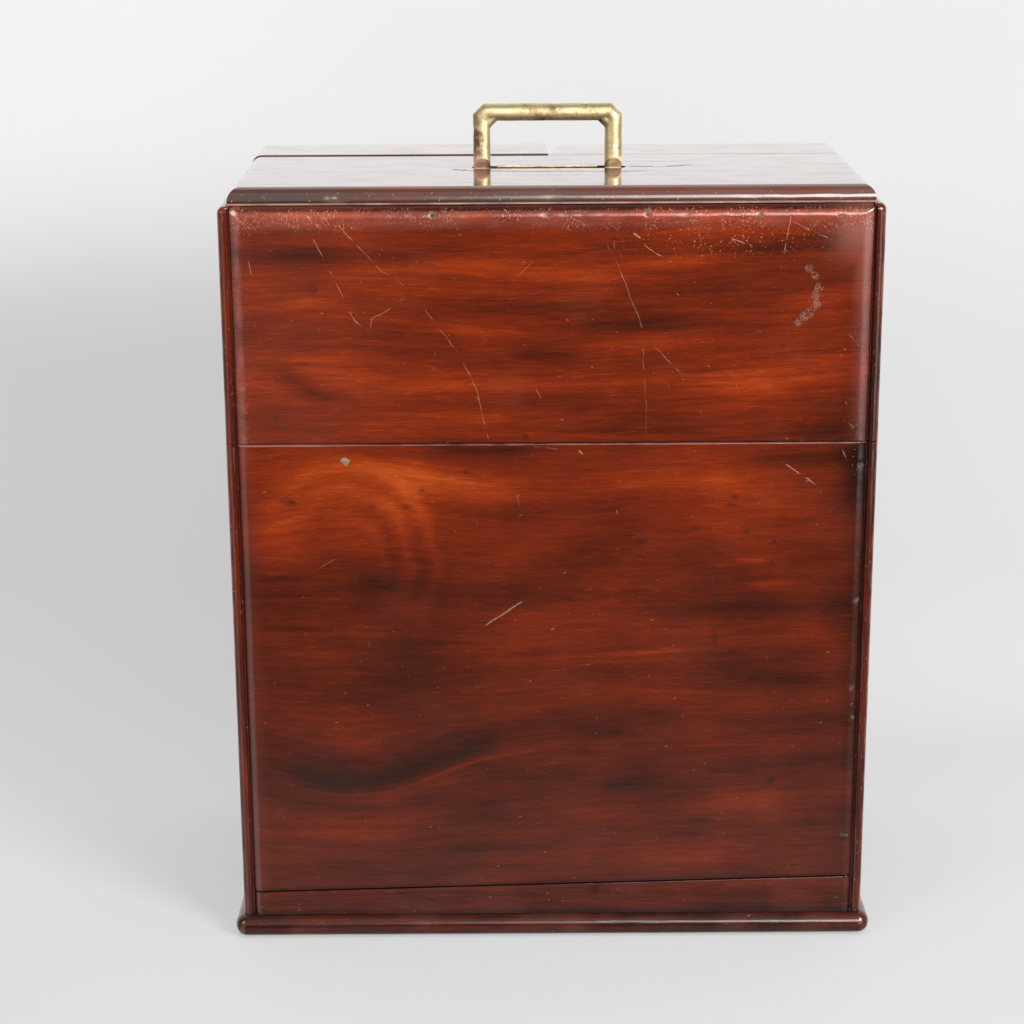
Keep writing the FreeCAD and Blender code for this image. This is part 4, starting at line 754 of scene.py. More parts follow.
def body_of(node):
    """The body that a CAD node's object hangs from."""
    o = NODES[node]
    for name, e in frame["bodies"].items():
        if o.parent == e:
            return name
    return "case"


def place(o, node, mat, sharp=36):
    body = body_of(node)
    dress(o, mat, sharp)
    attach(o, body)
    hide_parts(node)
    return o


def from_bm(bm, name):
    me = bpy.data.meshes.new(name)
    bmesh.ops.recalc_face_normals(bm, faces=bm.faces[:])
    for v in bm.verts:
        v.co *= MM
    bm.to_mesh(me)
    bm.free()
    return bpy.data.objects.new(name, me)


def groove(bm, a, b, nrm, wide, depth, reach=4.5):
    """Cuts a fine V along a..b into the faces that look along nrm."""
    a, b, nrm = Vector(a), Vector(b), Vector(nrm)
    d = b - a
    length = d.length
    d.normalize()
    p = nrm.cross(d).normalized()
    faces = []
    x_lo, x_hi = min(a.x, b.x) - reach, max(a.x, b.x) + reach
    for f in bm.faces:
        co = f.verts[0].co
        if x_lo < co.x < x_hi and f.normal.dot(nrm) > 0.6:
            c = co - a
            if abs(c.dot(p)) < reach and -reach < c.dot(d) < length + reach and abs(c.dot(nrm)) < 6:
                faces.append(f)
    geom = set(faces)
    for f in faces:
        geom.update(f.edges)
        geom.update(f.verts)
    geom = list(geom)
    for off in (0.0, -wide / 2, wide / 2):
        ret = bmesh.ops.bisect_plane(bm, geom=geom, dist=1e-4, plane_co=a + p * off, plane_no=p)
        geom = ret["geom"]
    for v in {g for g in geom if isinstance(g, bmesh.types.BMVert)}:
        c = v.co - a
        s = c.dot(d)
        if abs(c.dot(p)) < wide * 0.12 and 0 < s < length:
            v.co -= nrm * depth * min(1.0, s / 2.5, (length - s) / 2.5)


def knocks(p, count, box, r, depth, seed, push):
    """Shallow dents scattered in a box; push is the direction into the wood."""
    k = np.random.default_rng(seed)
    out = np.zeros(len(p))
    lo, hi = np.array(box[0], float), np.array(box[1], float)
    for _ in range(count):
        c = lo + (hi - lo) * k.random(3)
        rr = r * k.uniform(0.6, 1.5)
        dd = depth * k.uniform(0.4, 1.2)
        d2 = ((p - c) ** 2).sum(1) / (rr * rr)
        out = np.maximum(out, dd * np.exp(-d2))
    return out[:, None] * np.array(push, float)[None, :]


def grid_lines(lo, hi, step, r_lo, r_hi, fine=()):
    """Positions across a board: close together round its rounded edges and where fine asks for it."""
    k = np.arange(0, 9) / 8 * math.pi / 2
    v = [lo + max(r_lo, 0.3) * (1 - np.cos(k)), hi - max(r_hi, 0.3) * (1 - np.cos(k))]
    n = max(1, round((hi - lo) / step))
    v.append(np.linspace(lo, hi, n + 1)[1:-1])
    for a, b, s in fine:
        v.append(np.arange(a, b, s))
    v = np.unique(np.round(np.concatenate(v), 3))
    v = v[(v >= lo - 1e-6) & (v <= hi + 1e-6)]
    keep = [v[0]]
    for x in v[1:-1]:
        if x - keep[-1] > 0.16 and hi - x > 0.1:
            keep.append(x)
    keep.append(v[-1])
    return np.array(keep)


def drop(d, r):
    d = np.clip(d, 0, r)
    return r - np.sqrt(np.maximum(r * r - (r - d) ** 2, 0.0))


def front_board(node, x0, x1, low, high, radii, fine_x, fine_z, dents, scratches, step, seed, mat, band=None):
    """A board of the front: crowned edges, a slightly uneven polished face, dents and scratches.

    low and high give its lower and upper edge at x, radii are (left, right, bottom, top)."""
    rl, rr, rb, rt = radii
    yf, yb = -117.0, -105.0
    xs = grid_lines(x0, x1, step, rl, rr, fine_x)
    zl0, zh0 = (low(x0) + low(x1)) / 2, (high(x0) + high(x1)) / 2
    zs = grid_lines(zl0, zh0, step, rb, rt, fine_z)
    X, Zn = np.meshgrid(xs, zs, indexing="ij")
    L, H = low(X), high(X)
    fade = np.clip((Zn - zl0) / (zh0 - zl0), 0, 1)
    Z = Zn + (L - zl0) * (1 - fade) + (H - zh0) * fade
    edge = wavy(np.stack([X.ravel(), Z.ravel(), np.full(X.size, 3.0)], 1), 18.0, seed).reshape(X.shape) * 0.35
    # the upright edges are eased: they fall away slowly at first and steeply where they meet the side boards
    dx = 2.3 * np.maximum(np.clip(1 - (X - x0) / (rl + edge), 0, 1), np.clip(1 - (x1 - X) / (rr + edge), 0, 1)) ** 2.6
    dz = np.maximum(drop(Z - L, rb + edge * (rb > 1)), drop(H - Z, rt + edge * (rt > 1)))
    D = (dx ** 5 + dz ** 5) ** 0.2
    P = np.stack([X.ravel(), np.zeros(X.size), Z.ravel()], 1)
    face = np.minimum(np.minimum(X - x0, x1 - X), np.minimum(Z - L, H - Z))
    calm = np.clip(face / 2.0, 0, 1)
    D = D + calm * (0.10 + 0.10 * wavy(P, 70.0, seed + 1).reshape(X.shape) + 0.018 * wavy(P, 9.0, seed + 2).reshape(X.shape))
    for cx, cz, r, dep in dents:
        D += dep * np.exp(-(((X - cx) ** 2 + (Z - cz) ** 2) / (r * r)))
    if band:
        k = np.random.default_rng(seed + 9)
        for _ in range(band[4]):
            cx, cz = k.uniform(band[0], band[1]), k.uniform(band[2], band[3])
            r, dep, ang = k.uniform(0.7, 1.5), k.uniform(0.06, 0.26), k.uniform(0, math.pi)
            a = (X - cx) * math.cos(ang) + (Z - cz) * math.sin(ang)
            b = (Z - cz) * math.cos(ang) - (X - cx) * math.sin(ang)
            D += dep * np.exp(-((a / (r * 1.8)) ** 2 + (b / r) ** 2))
    Y = yf + np.minimum(D, 6.0)
    nx, nz = X.shape
    verts = list(zip(X.ravel(), Y.ravel(), Z.ravel()))
    idx = np.arange(nx * nz).reshape(nx, nz)
    faces = np.stack([idx[:-1, :-1], idx[1:, :-1], idx[1:, 1:], idx[:-1, 1:]], -1).reshape(-1, 4).tolist()
    loop = list(idx[:, 0]) + list(idx[-1, 1:]) + list(idx[::-1, -1][1:]) + list(idx[0, ::-1][1:-1])
    back = []
    for v in loop:
        back.append(len(verts))
        x, y, z = verts[v]
        verts.append((x, yb, z))
    m = len(loop)
    for k in range(m):
        j = (k + 1) % m
        faces.append((int(loop[k]), int(loop[j]), back[j], back[k]))
    faces.append(tuple(reversed(back)))
    me = bpy.data.meshes.new(node + "_skin")
    me.from_pydata(verts, [], faces)
    bm = bmesh.new()
    bm.from_mesh(me)
    bpy.data.meshes.remove(me)
    bmesh.ops.recalc_face_normals(bm, faces=bm.faces[:])
    for a, b, w, dep in scratches:
        groove(bm, (a[0], yf, a[1]), (b[0], yf, b[1]), (0, -1, 0), w, dep)
    return place(from_bm(bm, node + "_skin"), node, mat)


def node_bm(node):
    bm = bmesh.new()
    bm.from_mesh(NODES[node].data)
    for v in bm.verts:
        v.co *= 1000.0
    bmesh.ops.remove_doubles(bm, verts=bm.verts[:], dist=0.002)
    bmesh.ops.dissolve_limit(bm, angle_limit=math.radians(0.4), verts=bm.verts[:], edges=bm.edges[:])
    return bm


def closed(bm):
    return all(len(e.link_faces) == 2 for e in bm.edges)


def soften(bm, width, angle=38, segments=2):
    edges = [e for e in bm.edges if len(e.link_faces) == 2 and e.calc_face_angle(0.0) > math.radians(angle)]
    if edges:
        bmesh.ops.bevel(bm, geom=edges, offset=width, offset_type="OFFSET", segments=segments, profile=0.5,
                        affect="EDGES", clamp_overlap=True, miter_outer="ARC")
    return bm


def refine(node, mat, bevel=0.35, steps=(None, None, None), amp=0.08, size=45.0, seed=0, hits=(), cuts=(), sharp=36,
           segments=2, shape=None, second=None):
    """The CAD shape with softened arrises, worn a little uneven, with dents and cracks."""
    bm = node_bm(node)
    if bevel:
        test = bm.copy()
        soften(test, bevel, segments=segments)
        lo0, hi0 = extent(bm)
        lo1, hi1 = extent(test)
        if closed(test) and (lo1 >= lo0 - 0.05).all() and (hi1 <= hi0 + 0.05).all():
            bm.free()
            bm = test
        else:
            test.free()
    lo, hi = extent(bm)
    for k, step in enumerate(steps):
        if step:
            c = lo[k] + step * 0.5
            no = Vector([1.0 if j == k else 0.0 for j in range(3)])
            while c < hi[k] - 0.2:
                bmesh.ops.bisect_plane(bm, geom=bm.verts[:] + bm.edges[:] + bm.faces[:], dist=1e-4,
                                       plane_co=no * c, plane_no=no)
                c += step
    bm.normal_update()
    bm.verts.ensure_lookup_table()
    p = np.array([v.co[:] for v in bm.verts])
    nrm = np.array([v.normal[:] for v in bm.verts])
    move = -nrm * (np.maximum(wavy(p, size, seed + 3), -0.6) + 0.6)[:, None] * amp if amp else np.zeros_like(p)
    for count, box, r, depth, sd, push in hits:
        move += knocks(p, count, box, r, depth, sd, push)
    if shape is not None:
        move += shape(p, nrm)
    for v, m in zip(bm.verts, move):
        v.co += Vector(m)
    if shape is strip:
        bmesh.ops.remove_doubles(bm, verts=bm.verts[:], dist=0.02)
        bmesh.ops.dissolve_degenerate(bm, edges=bm.edges[:], dist=0.01)
    bm.normal_update()
    for a, b, nn, w, dep in cuts:
        groove(bm, a, b, nn, w, dep, reach=max(4.5, (max(s or 0 for s in steps)) + 1))
    if second:
        bm.normal_update()
        for f in bm.faces:
            f.material_index = 1 if second[1](f) else 0
    o = place(from_bm(bm, node + "_skin"), node, mat, sharp)
    if second:
        o.data.materials.append(second[0])
    return o


def extent(bm):
    p = np.array([v.co[:] for v in bm.verts])
    return p.min(0), p.max(0)


# ------------------------------------------------------- the front's boards
LID_PITS = [(169, 480, 1.5, 0.40), (173, 476, 1.2, 0.30), (176, 468, 1.4, 0.40), (174, 463, 1.2, 0.34), (175, 457, 1.4, 0.42),
            (171, 452, 1.4, 0.45), (168, 449, 1.6, 0.50), (164, 446, 1.5, 0.42), (161, 443, 1.2, 0.30), (153, 428, 1.2, 0.35),
            (-185.8, 380.7, 1.6, 0.35), (-158.5, 467, 1.6, 0.25), (41, 500, 1.2, 0.3), (-18, 366.5, 1.3, 0.3),
            (171, 459, 1.0, 0.3), (178, 462, 0.9, 0.25), (166, 452, 1.0, 0.3), (158, 440, 1.0, 0.25)]
LID_BRADS = [(x, z, 1.9, 0.32) for x, z in ((-78.4, 516.4), (63, 516.6), (136.4, 515.4), (190.2, 514.4))]
near_x = [(x - 3, x + 3, 0.8) for x in (-185.8, -158.5, -78.4, 63, 41, 136.4, 190.2)]
front_board(
    "lid_front_board", -211.7, 211.7, lambda x: x * 0 + 362.5, lambda x: x * 0 + 523.0, (10, 10, 0.35, 9),
    near_x + [(151, 181, 0.8)], [(426, 484, 1.0), (505, 523, 0.8), (378, 384, 0.8)], LID_PITS + LID_BRADS,
    [(a, b, 0.6, 0.10 * k) for a, b, w, k in LID_LINES if k > 0.38], 2.6, 21, M["lid"], band=(-208, 208, 506, 521, 130))

CASE_BRADS = [(x, z, 1.9, 0.32) for x, z in ((209, 346), (209, 250), (207.6, 75), (209, 164))]
CASE_DENTS = CASE_BRADS + [(-139.6, 349.9, 4.2, 0.28), (-177.6, 322.1, 2.6, 0.30), (190.1, 312.9, 1.8, 0.3),
                           (207, 186, 1.8, 0.3), (60, 293, 2.2, 0.22), (18, 357, 1.0, 0.3), (204.7, 77.4, 2.6, 0.25)]
front_board(
    "case_front_board", -211.7, 211.7, lambda x: 39.3 + x * 5.1 / 211.7, lambda x: x * 0 + 362.0, (7, 7, 0.3, 1.2),
    [(x - 3, x + 3, 0.9) for x in (-177.6, 60, 190.1)] + [(-146, -133, 1.0), (201, 211, 0.9)],
    [(z - 3, z + 3, 0.9) for z in (346, 350, 322, 313, 250, 186, 164, 75)], CASE_DENTS,
    [((-46, 233), (-21, 250), 0.95, 0.32), ((156, 348), (180, 331), 0.6, 0.12), ((-160, 274), (-148, 281), 0.6, 0.10),
     ((60, 253), (74, 257), 0.5, 0.08), ((0, 199), (40, 206), 0.5, 0.06)],
    3.0, 31, M["case"])
front_board(
    "case_front_rail", -211.7, 211.7, lambda x: x * 0 + 16.0, lambda x: 38.2 + x * 5.1 / 211.7, (6, 6, 0.2, 0.5),
    [], [(34, 38, 0.8)], [(-98, 31, 1.8, 0.4), (86, 33, 2.0, 0.35), (150, 37, 3.0, 0.4), (30, 37.4, 4.0, 0.3)], [],
    3.2, 41, M["rail"], band=(-205, 205, 33, 37.5, 40))

# ------------------------------------------------- sides, top, base, handle
def strip(p, nrm):
    """The side board's front edge: a lip, then a step down to where the front board's eased edge ends."""
    x, y = p[:, 0], p[:, 1]
    ax, sg = np.abs(x), np.sign(x)
    move = np.zeros_like(p)
    low = (y < -114.7) & ((ax < 214.3) | ((y > -116.4) & (ax < 214.95)))
    move[low, 1] = -114.7 - y[low]
    wall = low & (ax > 213.7)
    move[wall, 0] = sg[wall] * (213.2 + (ax[wall] - 213.7) * 0.3 - ax[wall])
    lip = (y < -116.4) & (ax >= 214.3) & (ax < 215.3)
    move[lip, 0] = -sg[lip] * 1.0
    return move


for k, (side, sgn) in enumerate((("left", -1), ("right", 1))):
    fx = (sgn * 220.2 - 1, -117.2, 17), (sgn * 216 + 1, -112, 361)
    refine("case_side_" + side, M["side"], 0.35, (None, 12, 8), 0.10, 60, 50 + k,
           hits=[(60, fx, 1.8, 0.22, 61 + k, (-sgn * 0.5, 0.8, 0)),
                 (30, ((sgn * 220, -110, 20), (sgn * 220, 110, 355)), 4.0, 0.25, 63 + k, (-sgn, 0, 0))], shape=strip)
    fx = (sgn * 220.2 - 1, -117.2, 363), (sgn * 216 + 1, -112, 523)
    refine("lid_side_" + side, M["side"], 0.35, (None, 12, 6), 0.10, 60, 54 + k,
           hits=[(40, fx, 1.8, 0.25, 65 + k, (-sgn * 0.5, 0.8, 0)),
                 (30, ((sgn * 220, -112, 521), (sgn * 220, 113, 523)), 2.2, 0.3, 67 + k, (-sgn * 0.7, 0, -0.7))], shape=strip)

TOP_CRACKS = [((-65, -27), (-55, -33)), ((-55, -33), (-34, -36.5)), ((-34, -36.5), (34, -39.7)), ((34, -39.7), (49, -40.3)),
              ((49, -40.3), (65, -38)), ((56, -15.5), (77, -19.8)), ((77, -19.8), (98, -10.7))]


def deep_ovolo(p, nrm):
    """The ovolo runs a little further down, and leaves a narrow fillet under it."""
    move = np.zeros_like(p)
    move[:, 2] = -np.interp(p[:, 2], (523.0, 525.6, 534.0), (0.0, 1.4, 0.0))
    return move


def ovolo_chip(p, nrm):
    d = ((p[:, 0] + 142.5) / 2.4) ** 2 + ((p[:, 1] + 111) / 2.5) ** 2 + ((p[:, 2] - 527.5) / 2.0) ** 2
    return -nrm * (0.7 * np.exp(-d))[:, None] + deep_ovolo(p, nrm)


refine("lid_top_front_board", M["top"], 0.30, (5, 6, None), 0.05, 55, 70,
       hits=[(70, ((-214, -112, 525), (214, -104, 534.2)), 2.0, 0.28, 71, (0, 0.6, -0.6)),
             (20, ((-210, -100, 534), (210, 40, 534)), 2.4, 0.30, 72, (0, 0, -1))],
       cuts=[((a[0], a[1], 534), (b[0], b[1], 534), (0, 0, 1), 0.8, 1.1) for a, b in TOP_CRACKS], shape=ovolo_chip,
       second=(M["top_edge"], lambda f: f.normal.z < 0.94 or f.calc_center_median().z < 533.2))
for k, side in enumerate(("left", "right")):
    refine("lid_top_rear_%s_board" % side, M["top"], 0.30, (6, 6, None), 0.05, 55, 74 + k,
           hits=[(12, ((-210, 50, 534), (210, 108, 535)), 2.4, 0.3, 76 + k, (0, 0, -1))], shape=deep_ovolo,
           second=(M["top_edge"], lambda f: f.normal.z < 0.94 or f.calc_center_median().z < 533.2))
refine("base_board", M["base"], 0.25, (7, 7, None), 0.12, 40, 80,
       hits=[(90, ((-226, -123.5, 2), (226, -119, 15)), 1.9, 0.32, 81, (0, 0.9, -0.2)),
             (20, ((224, -118, 2), (227, 118, 15)), 2.2, 0.3, 82, (-1, 0, 0)),
             (20, ((-227, -118, 2), (-224, 118, 15)), 2.2, 0.3, 83, (1, 0, 0))])


def handle_wear(p, nrm):
    out = -nrm * ((wavy(p, 9.0, 91) + 1) * 0.10)[:, None]
    for x, z, r, dep in ((2.5, 578, 1.6, 0.75), (6.0, 578, 1.3, 0.5), (-4, 577, 2.0, 0.35), (-52, 560, 2.2, 0.4),
                         (-46, 552, 1.6, 0.3), (47, 574, 1.8, 0.4), (49.5, 556, 2.0, 0.25), (-30, 578, 1.8, 0.2), (24, 578, 2.2, 0.25)):
        d = ((p[:, 0] - x) ** 2 + (p[:, 2] - z) ** 2) / (r * r)
        out -= nrm * (dep * np.exp(-d) * (p[:, 1] < -14))[:, None]
    return out


refine("carrying_handle", M["handle"], 0.22, (1.6, None, 1.8), 0.0, 20, 90, sharp=32, shape=handle_wear)

# ---------------------------------- everything else keeps its shape, with softened arrises
WOODS = {
    "case_back_board": ("back", 0.4), "lid_back_board": ("back", 0.4), "case_hinge_rail": ("inner", 0.4),
    "lid_hinge_rail": ("inner", 0.4), "lid_batten_front": ("inner_flat", 0.4), "lid_batten_rear": ("inner_flat", 0.4),
    "handle_guide_block": ("inner_flat", 0.4), "rack_cheek_left": ("inner_up", 0.5), "rack_cheek_right": ("inner_up", 0.5),
    "rack_partition_front": ("inner", 0.4), "rack_partition_middle": ("inner", 0.4), "rack_partition_rear": ("inner", 0.4),
    "rack_raised_floor": ("inner_flat", 0.3), "rack_divider_front": ("inner_up", 0.3), "rack_divider_middle": ("inner_up", 0.3),
    "tray_bearer_left": ("inner_deep", 0.4), "tray_bearer_right": ("inner_deep", 0.4), "tray_bottom": ("inner_flat", 0.3),
    "tray_front": ("inner", 0.4), "tray_back": ("inner", 0.4), "tray_end_left": ("inner_deep", 0.4),
    "tray_end_right": ("inner_deep", 0.4), "tray_divider_left": ("inner_deep", 0.3), "tray_divider_right": ("inner_deep", 0.3),
    "tray_cross_divider_left": ("inner", 0.3), "tray_cross_divider_right": ("inner", 0.3), "pen_trough": ("inner", 0.4),
}
for i, (name, (key, width)) in enumerate(WOODS.items()):
    refine(name, M[key], width, amp=0.0, seed=100 + i)
METALS = {
    "handle_channel": 0.15, "hinge_leaves_lower": 0.15, "hinge_leaves_upper": 0.15, "hinge_pins": 0.15, "side_hook_left": 0.25,
    "side_hook_right": 0.25, "hook_pivot_screws": 0.12, "hook_catch_studs": 0.12, "handle_stop_bar": 0.25, "handle_nuts": 0.15,
    "ink_cap_left": 0.2, "ink_cap_right": 0.2,
}
for i, (name, width) in enumerate(METALS.items()):
    refine(name, M["channel" if name == "handle_channel" else "fittings"], width, amp=0.0, seed=140 + i)
for name, o in NODES.items():
    o.data.materials.clear()
    o.data.materials.append(M["glass"] if "bottle" in name else M["iron"] if "brads" in name else M["fittings"])


# ------------------------------------------- old plugs let into the front's face
def plug(name, body, x, z, points, thick, y=-117.0, seed=0):
    """A small let-in piece: an uneven face over a tapering body."""
    k = np.random.default_rng(seed)
    bm = bmesh.new()
    rings = []
    m = len(points)
    for sc, dy in ((0.30, -thick - 0.10), (0.62, -thick - 0.04), (0.90, -thick * 0.7), (1.0, -thick * 0.15), (0.9, 1.2)):
        ring = []
        for j in range(m * 4):
            a, b = points[j // 4], points[(j // 4 + 1) % m]
            t = (j % 4) / 4
            px, pz = a[0] * (1 - t) + b[0] * t, a[1] * (1 - t) + b[1] * t
            ring.append(bm.verts.new((x + px * sc, y + dy + k.uniform(-0.06, 0.06) * (dy < 0.5), z + pz * sc)))
        rings.append(ring)
    q = len(rings[0])
    for r0, r1 in zip(rings, rings[1:]):
        for j in range(q):
            bm.faces.new((r0[j], r0[(j + 1) % q], r1[(j + 1) % q], r1[j]))
    top = bm.verts.new((x, y - thick + 0.05, z))
    for j in range(q):
        bm.faces.new((top, rings[0][(j + 1) % q], rings[0][j]))
    bm.faces.new(rings[-1])
    o = from_bm(bm, name)
    dress(o, M["filler"], 50)
    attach(o, body)
    return o


plug("case_front_plug", "case", -139.6, 349.9, [(-3.9, 1.2), (-0.4, 3.1), (3.6, 0.9), (0.6, -3.4)], 0.14, y=-116.78, seed=3)

# --------------------------------------------------------------------- stage
def stage_material(name, albedo, glow, fade=None, one_sided=False, tint=None):
    """Matt paper that also glows a little, so that it stays pale away from the lamps."""
    m = bpy.data.materials.new(name)
    m.use_nodes = True
    t = m.node_tree
    t.nodes.clear()

    def node(kind, **kw):
        n = t.nodes.new(kind)
        for k, v in kw.items():
            setattr(n, k, v)
        return n

    out = node("ShaderNodeOutputMaterial")
    dif = node("ShaderNodeBsdfDiffuse")
    dif.inputs["Color"].default_value = (albedo, albedo, albedo, 1)
    em = node("ShaderNodeEmission")
    em.inputs["Strength"].default_value = 1.0
    em.inputs["Color"].default_value = (glow, glow, glow, 1)
    # painted light: the glow grows stronger above a height on the backdrop and towards its left, standing in for the
    # lamp's fall-off and the chest's shadow on the wall
    if tint:
        co = node("ShaderNodeTexCoord")
        sp = node("ShaderNodeSeparateXYZ")
        t.links.new(co.outputs["Object"], sp.inputs[0])
        mr = node("ShaderNodeMapRange", interpolation_type="SMOOTHSTEP")
        for i, k in enumerate(tint[1:]):
            mr.inputs[i + 1].default_value = k
        t.links.new(sp.outputs[tint[0]], mr.inputs[0])
        side = node("ShaderNodeMapRange")
        for i, k in enumerate((-0.35, 0.35, tint[4] + 0.13, tint[4] - 0.12)):
            side.inputs[i + 1].default_value = k
        t.links.new(sp.outputs[0], side.inputs[0])
        t.links.new(side.outputs[0], mr.inputs[4])
        t.links.new(mr.outputs[0], em.inputs["Strength"])
    add = node("ShaderNodeAddShader")
    t.links.new(dif.outputs[0], add.inputs[0])
    t.links.new(em.outputs[0], add.inputs[1])
    top = add.outputs[0]
    clear = node("ShaderNodeBsdfTransparent")
    if fade:
        co = node("ShaderNodeTexCoord")
        ln = node("ShaderNodeVectorMath", operation="LENGTH")
        t.links.new(co.outputs["Object"], ln.inputs[0])
        mr = node("ShaderNodeMapRange", interpolation_type="SMOOTHSTEP")
        mr.inputs[1].default_value, mr.inputs[2].default_value = fade
        t.links.new(ln.outputs["Value"], mr.inputs[0])
        mx = node("ShaderNodeMixShader")
        t.links.new(mr.outputs[0], mx.inputs[0])
        t.links.new(top, mx.inputs[1])
        t.links.new(clear.outputs[0], mx.inputs[2])
        top = mx.outputs[0]
    if one_sided:
        geo = node("ShaderNodeNewGeometry")
        mx = node("ShaderNodeMixShader")
        t.links.new(geo.outputs["Backfacing"], mx.inputs[0])
        t.links.new(top, mx.inputs[1])
        t.links.new(clear.outputs[0], mx.inputs[2])
        top = mx.outputs[0]
    t.links.new(top, out.inputs[0])
    return m


def stage_piece(name, verts, faces, mat):
    me = bpy.data.meshes.new(name)
    me.from_pydata(verts, [], faces)
    me.shade_smooth()
    me.materials.append(mat)
    o = bpy.data.objects.new(name, me)
    scene.collection.objects.link(o)
    return o


def sweep(name, x_half, y_front, y_wall, r, z_top, z0, mat):
    """Paper laid flat on the table and curved up into a wall behind the chest."""
    prof = [(y, z0) for y in np.linspace(y_front, y_wall - r, 24)]
    prof += [(y_wall - r + r * math.sin(a), z0 + r - r * math.cos(a)) for a in np.linspace(0.08, math.pi / 2, 16)]
    prof += [(y_wall, z) for z in np.linspace(z0 + r, z_top, 10)[1:]]
    xs = np.linspace(-x_half, x_half, 49)
    verts = [(x, y, z) for y, z in prof for x in xs]
    m = len(xs)
    faces = [(i * m + j, i * m + j + 1, (i + 1) * m + j + 1, (i + 1) * m + j)
             for i in range(len(prof) - 1) for j in range(m - 1)]
    return stage_piece(name, verts, faces, mat)


def disc(name, radius, z, mat, rings=40, seg=96):
    verts, faces = [(0, 0, z)], []
    for i in range(1, rings + 1):
        r = radius * (i / rings) ** 1.5
        verts += [(r * math.cos(2 * math.pi * k / seg), r * math.sin(2 * math.pi * k / seg), z) for k in range(seg)]
    for k in range(seg):
        faces.append((0, 1 + k, 1 + (k + 1) % seg))
    for i in range(rings - 1):
        b0, b1 = 1 + i * seg, 1 + (i + 1) * seg
        faces += [(b0 + k, b1 + k, b1 + (k + 1) % seg, b0 + (k + 1) % seg) for k in range(seg)]
    return stage_piece(name, verts, faces, mat)


ALB, GLOW = 0.27, 0.42
wall = sweep("backdrop", 2.2, -0.10, 0.37, 0.12, 1.5, -0.0004, stage_material("backdrop", ALB, GLOW, one_sided=True, tint=(2, 0.30, 0.48, 1.0, 1.20)))
wall.visible_shadow = False
table = disc("table_near", 0.95, -0.0008, stage_material("table_near", ALB, GLOW, fade=(0.30, 0.85)))
far = disc("table_far", 9.0, -0.0012, stage_material("table_far", ALB, GLOW, fade=(4.0, 8.8)))
far.visible_glossy = False
table.visible_glossy = False
wall.visible_glossy = False

world = bpy.data.worlds.new("studio")
scene.world = world
world.use_nodes = True
t = world.node_tree
t.nodes.clear()
out = t.nodes.new("ShaderNodeOutputWorld")
seen = t.nodes.new("ShaderNodeBackground")
seen.inputs[0].default_value = (0.80, 0.80, 0.80, 1)
room = t.nodes.new("ShaderNodeBackground")
room.inputs[0].default_value = (1, 1, 1, 1)
co = t.nodes.new("ShaderNodeTexCoord")
sp = t.nodes.new("ShaderNodeSeparateXYZ")
t.links.new(co.outputs["Generated"], sp.inputs[0])


def part(*terms):
    """A share of the room's light: the product of terms (axis, from, to, low, high)."""
    v = None
    for axis, a, b, lo_, hi_ in terms:
        n = t.nodes.new("ShaderNodeMapRange")
        n.interpolation_type = "SMOOTHSTEP"
        for i, k in enumerate((a, b, lo_, hi_)):
            n.inputs[i + 1].default_value = k
        t.links.new(sp.outputs[axis], n.inputs[0])
        if v is None:
            v = n.outputs[0]
        else:
            m = t.nodes.new("ShaderNodeMath")
            m.operation = "MULTIPLY"
            t.links.new(v, m.inputs[0])
            t.links.new(n.outputs[0], m.inputs[1])
            v = m.outputs[0]
    return v


def together(shares, where):
    """Adds the shares up into the strength of one background."""
    v = shares[0]
    for s in shares[1:]:
        mu = t.nodes.new("ShaderNodeMath")
        mu.operation = "ADD"
        t.links.new(v, mu.inputs[0])
        t.links.new(s, mu.inputs[1])
        v = mu.outputs[0]
    t.links.new(v, where.inputs[1])


# what lights the chest softly
together([part((1, -0.15, 0.5, 0.07, 0.9)),                              # pale wall behind
          part((2, 0.45, 0.95, 0.0, 0.35))], room)                       # ceiling
# what its polish and its brass mirror
gloss = t.nodes.new("ShaderNodeBackground")
gloss.inputs[0].default_value = (1, 1, 1, 1)
together([part((1, 0.08, 0.46, 0.03, 1.12), (2, 0.02, 0.10, 0.02, 1.0)),                         # wall behind
          part((1, 0.0, 0.4, 0.0, 0.85), (2, 0.02, 0.10, 1.0, 0.0)),                            # table behind
          part((2, 0.55, 0.95, 0.04, 0.14), (1, -0.45, 0.0, 0.3, 1.0)),                         # ceiling
          part((1, -0.25, -0.60, 0.0, 0.55), (2, -0.03, 0.10, 0.0, 1.0)),                       # room in front
          part((0, -0.07, 0.20, 0.0, 12.0), (0, 0.60, 0.72, 1.0, 0.0), (2, 0.12, 0.27, 0.0, 1.0),
               (2, 0.42, 0.56, 1.0, 0.0), (1, 0.0, -0.2, 0.0, 1.0)),                            # window, front right
          part((0, 0.27, 0.50, 0.0, 2.3), (0, 0.72, 0.90, 1.0, 0.12), (2, -0.285, -0.235, 0.06, 1.0),
               (2, 0.10, 0.20, 1.0, 0.0), (1, 0.3, 0.0, 0.0, 1.0)),                             # wall on the right
          part((0, -0.27, -0.50, 0.0, 0.9), (0, -0.75, -0.90, 1.0, 0.3), (2, 0.20, 0.50, 1.0, 0.0),
               (1, 0.3, 0.0, 0.0, 1.0)),                                                        # wall on the left
          part((2, -0.28, -0.46, 0.0, 0.36), (1, 0.2, -0.2, 0.0, 1.0))], gloss)                 # table in front
lp = t.nodes.new("ShaderNodeLightPath")
m1 = t.nodes.new("ShaderNodeMixShader")
t.links.new(lp.outputs["Is Glossy Ray"], m1.inputs[0])
t.links.new(room.outputs[0], m1.inputs[1])
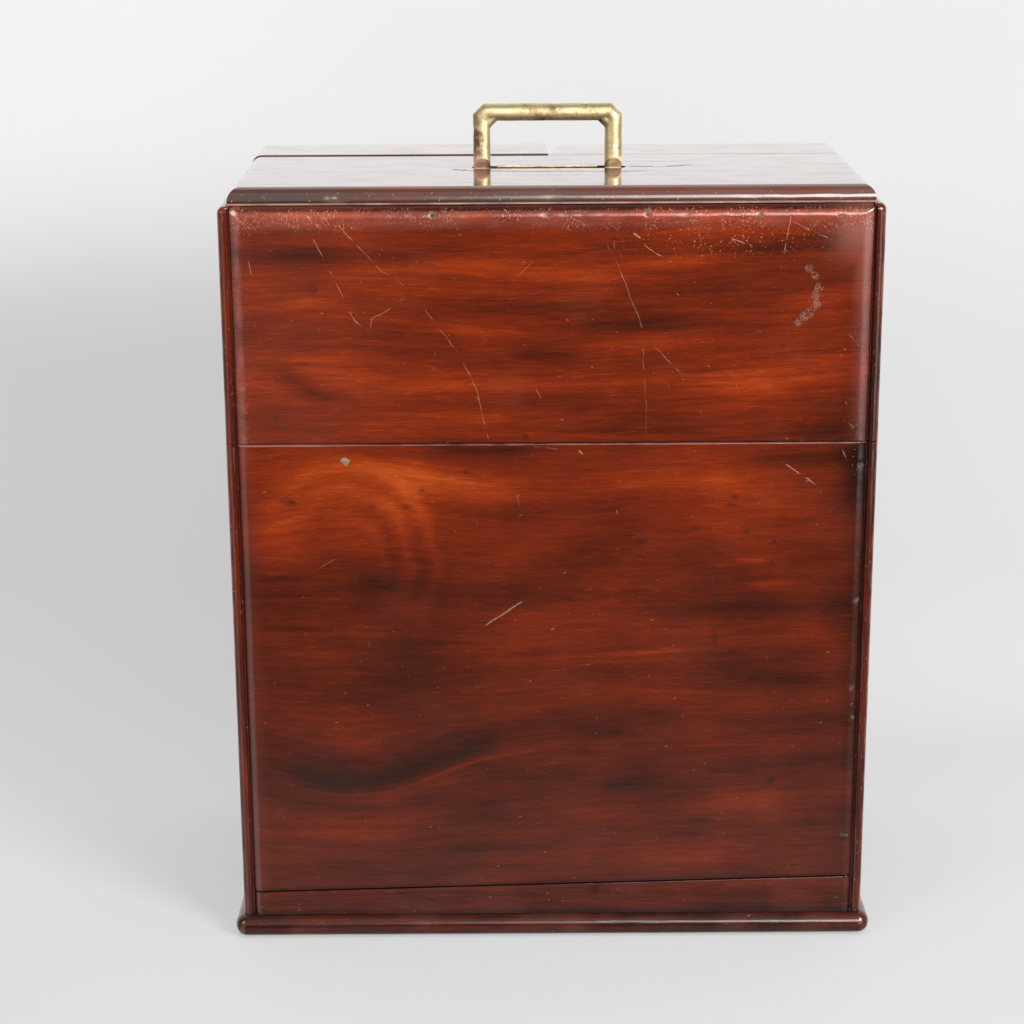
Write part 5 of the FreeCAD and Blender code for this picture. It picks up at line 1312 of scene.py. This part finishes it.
t.links.new(gloss.outputs[0], m1.inputs[2])
mx = t.nodes.new("ShaderNodeMixShader")
t.links.new(lp.outputs["Is Camera Ray"], mx.inputs[0])
t.links.new(m1.outputs[0], mx.inputs[1])
t.links.new(seen.outputs[0], mx.inputs[2])
t.links.new(mx.outputs[0], out.inputs[0])


def panel(name, az, el, dist, aim, w, h, power, gloss=1.0):
    a, e = math.radians(az), math.radians(el)
    aim = Vector(aim)
    at = aim + Vector((math.sin(a) * math.cos(e), -math.cos(a) * math.cos(e), math.sin(e))) * dist
    d = bpy.data.lights.new(name, "AREA")
    d.shape = "RECTANGLE"
    d.size, d.size_y = w, h
    d.energy = power
    d.specular_factor = gloss
    o = bpy.data.objects.new(name, d)
    o.location = at
    o.rotation_mode = "QUATERNION"
    o.rotation_quaternion = (aim - at).to_track_quat("-Z", "Y")
    scene.collection.objects.link(o)
    return o


panel("key", 40, 21, 2.4, (0, 0, 0.28), 0.9, 0.9, 62)
panel("fill", -48, 24, 2.6, (0, 0, 0.28), 0.8, 1.0, 15)
panel("overhead", 0, 62, 2.2, (0, 0, 0.3), 1.8, 0.7, 17, 0.0).visible_glossy = False

# -------------------------------------------------------------------- camera
C = Vector((-0.027236, -1.670508, 0.764324))
yaw, pitch, roll = math.radians(0.003), math.radians(16.161), math.radians(0.323)
fwd = Vector((math.sin(yaw) * math.cos(pitch), math.cos(yaw) * math.cos(pitch), -math.sin(pitch)))
right = Vector((math.cos(yaw), -math.sin(yaw), 0))
down = fwd.cross(right)
r2 = right * math.cos(roll) + down * math.sin(roll)
d2 = down * math.cos(roll) - right * math.sin(roll)
cam = bpy.data.cameras.new("camera")
cam.sensor_width = 36
cam.lens = 2383.05 / 1024 * 36
cam.clip_start, cam.clip_end = 0.05, 60
co = bpy.data.objects.new("camera", cam)
rot = Matrix((r2, -d2, -fwd)).transposed().to_4x4()
co.matrix_world = Matrix.Translation(C) @ rot
scene.collection.objects.link(co)
scene.camera = co

scene.view_settings.view_transform = "Standard"
scene.view_settings.look = "None"
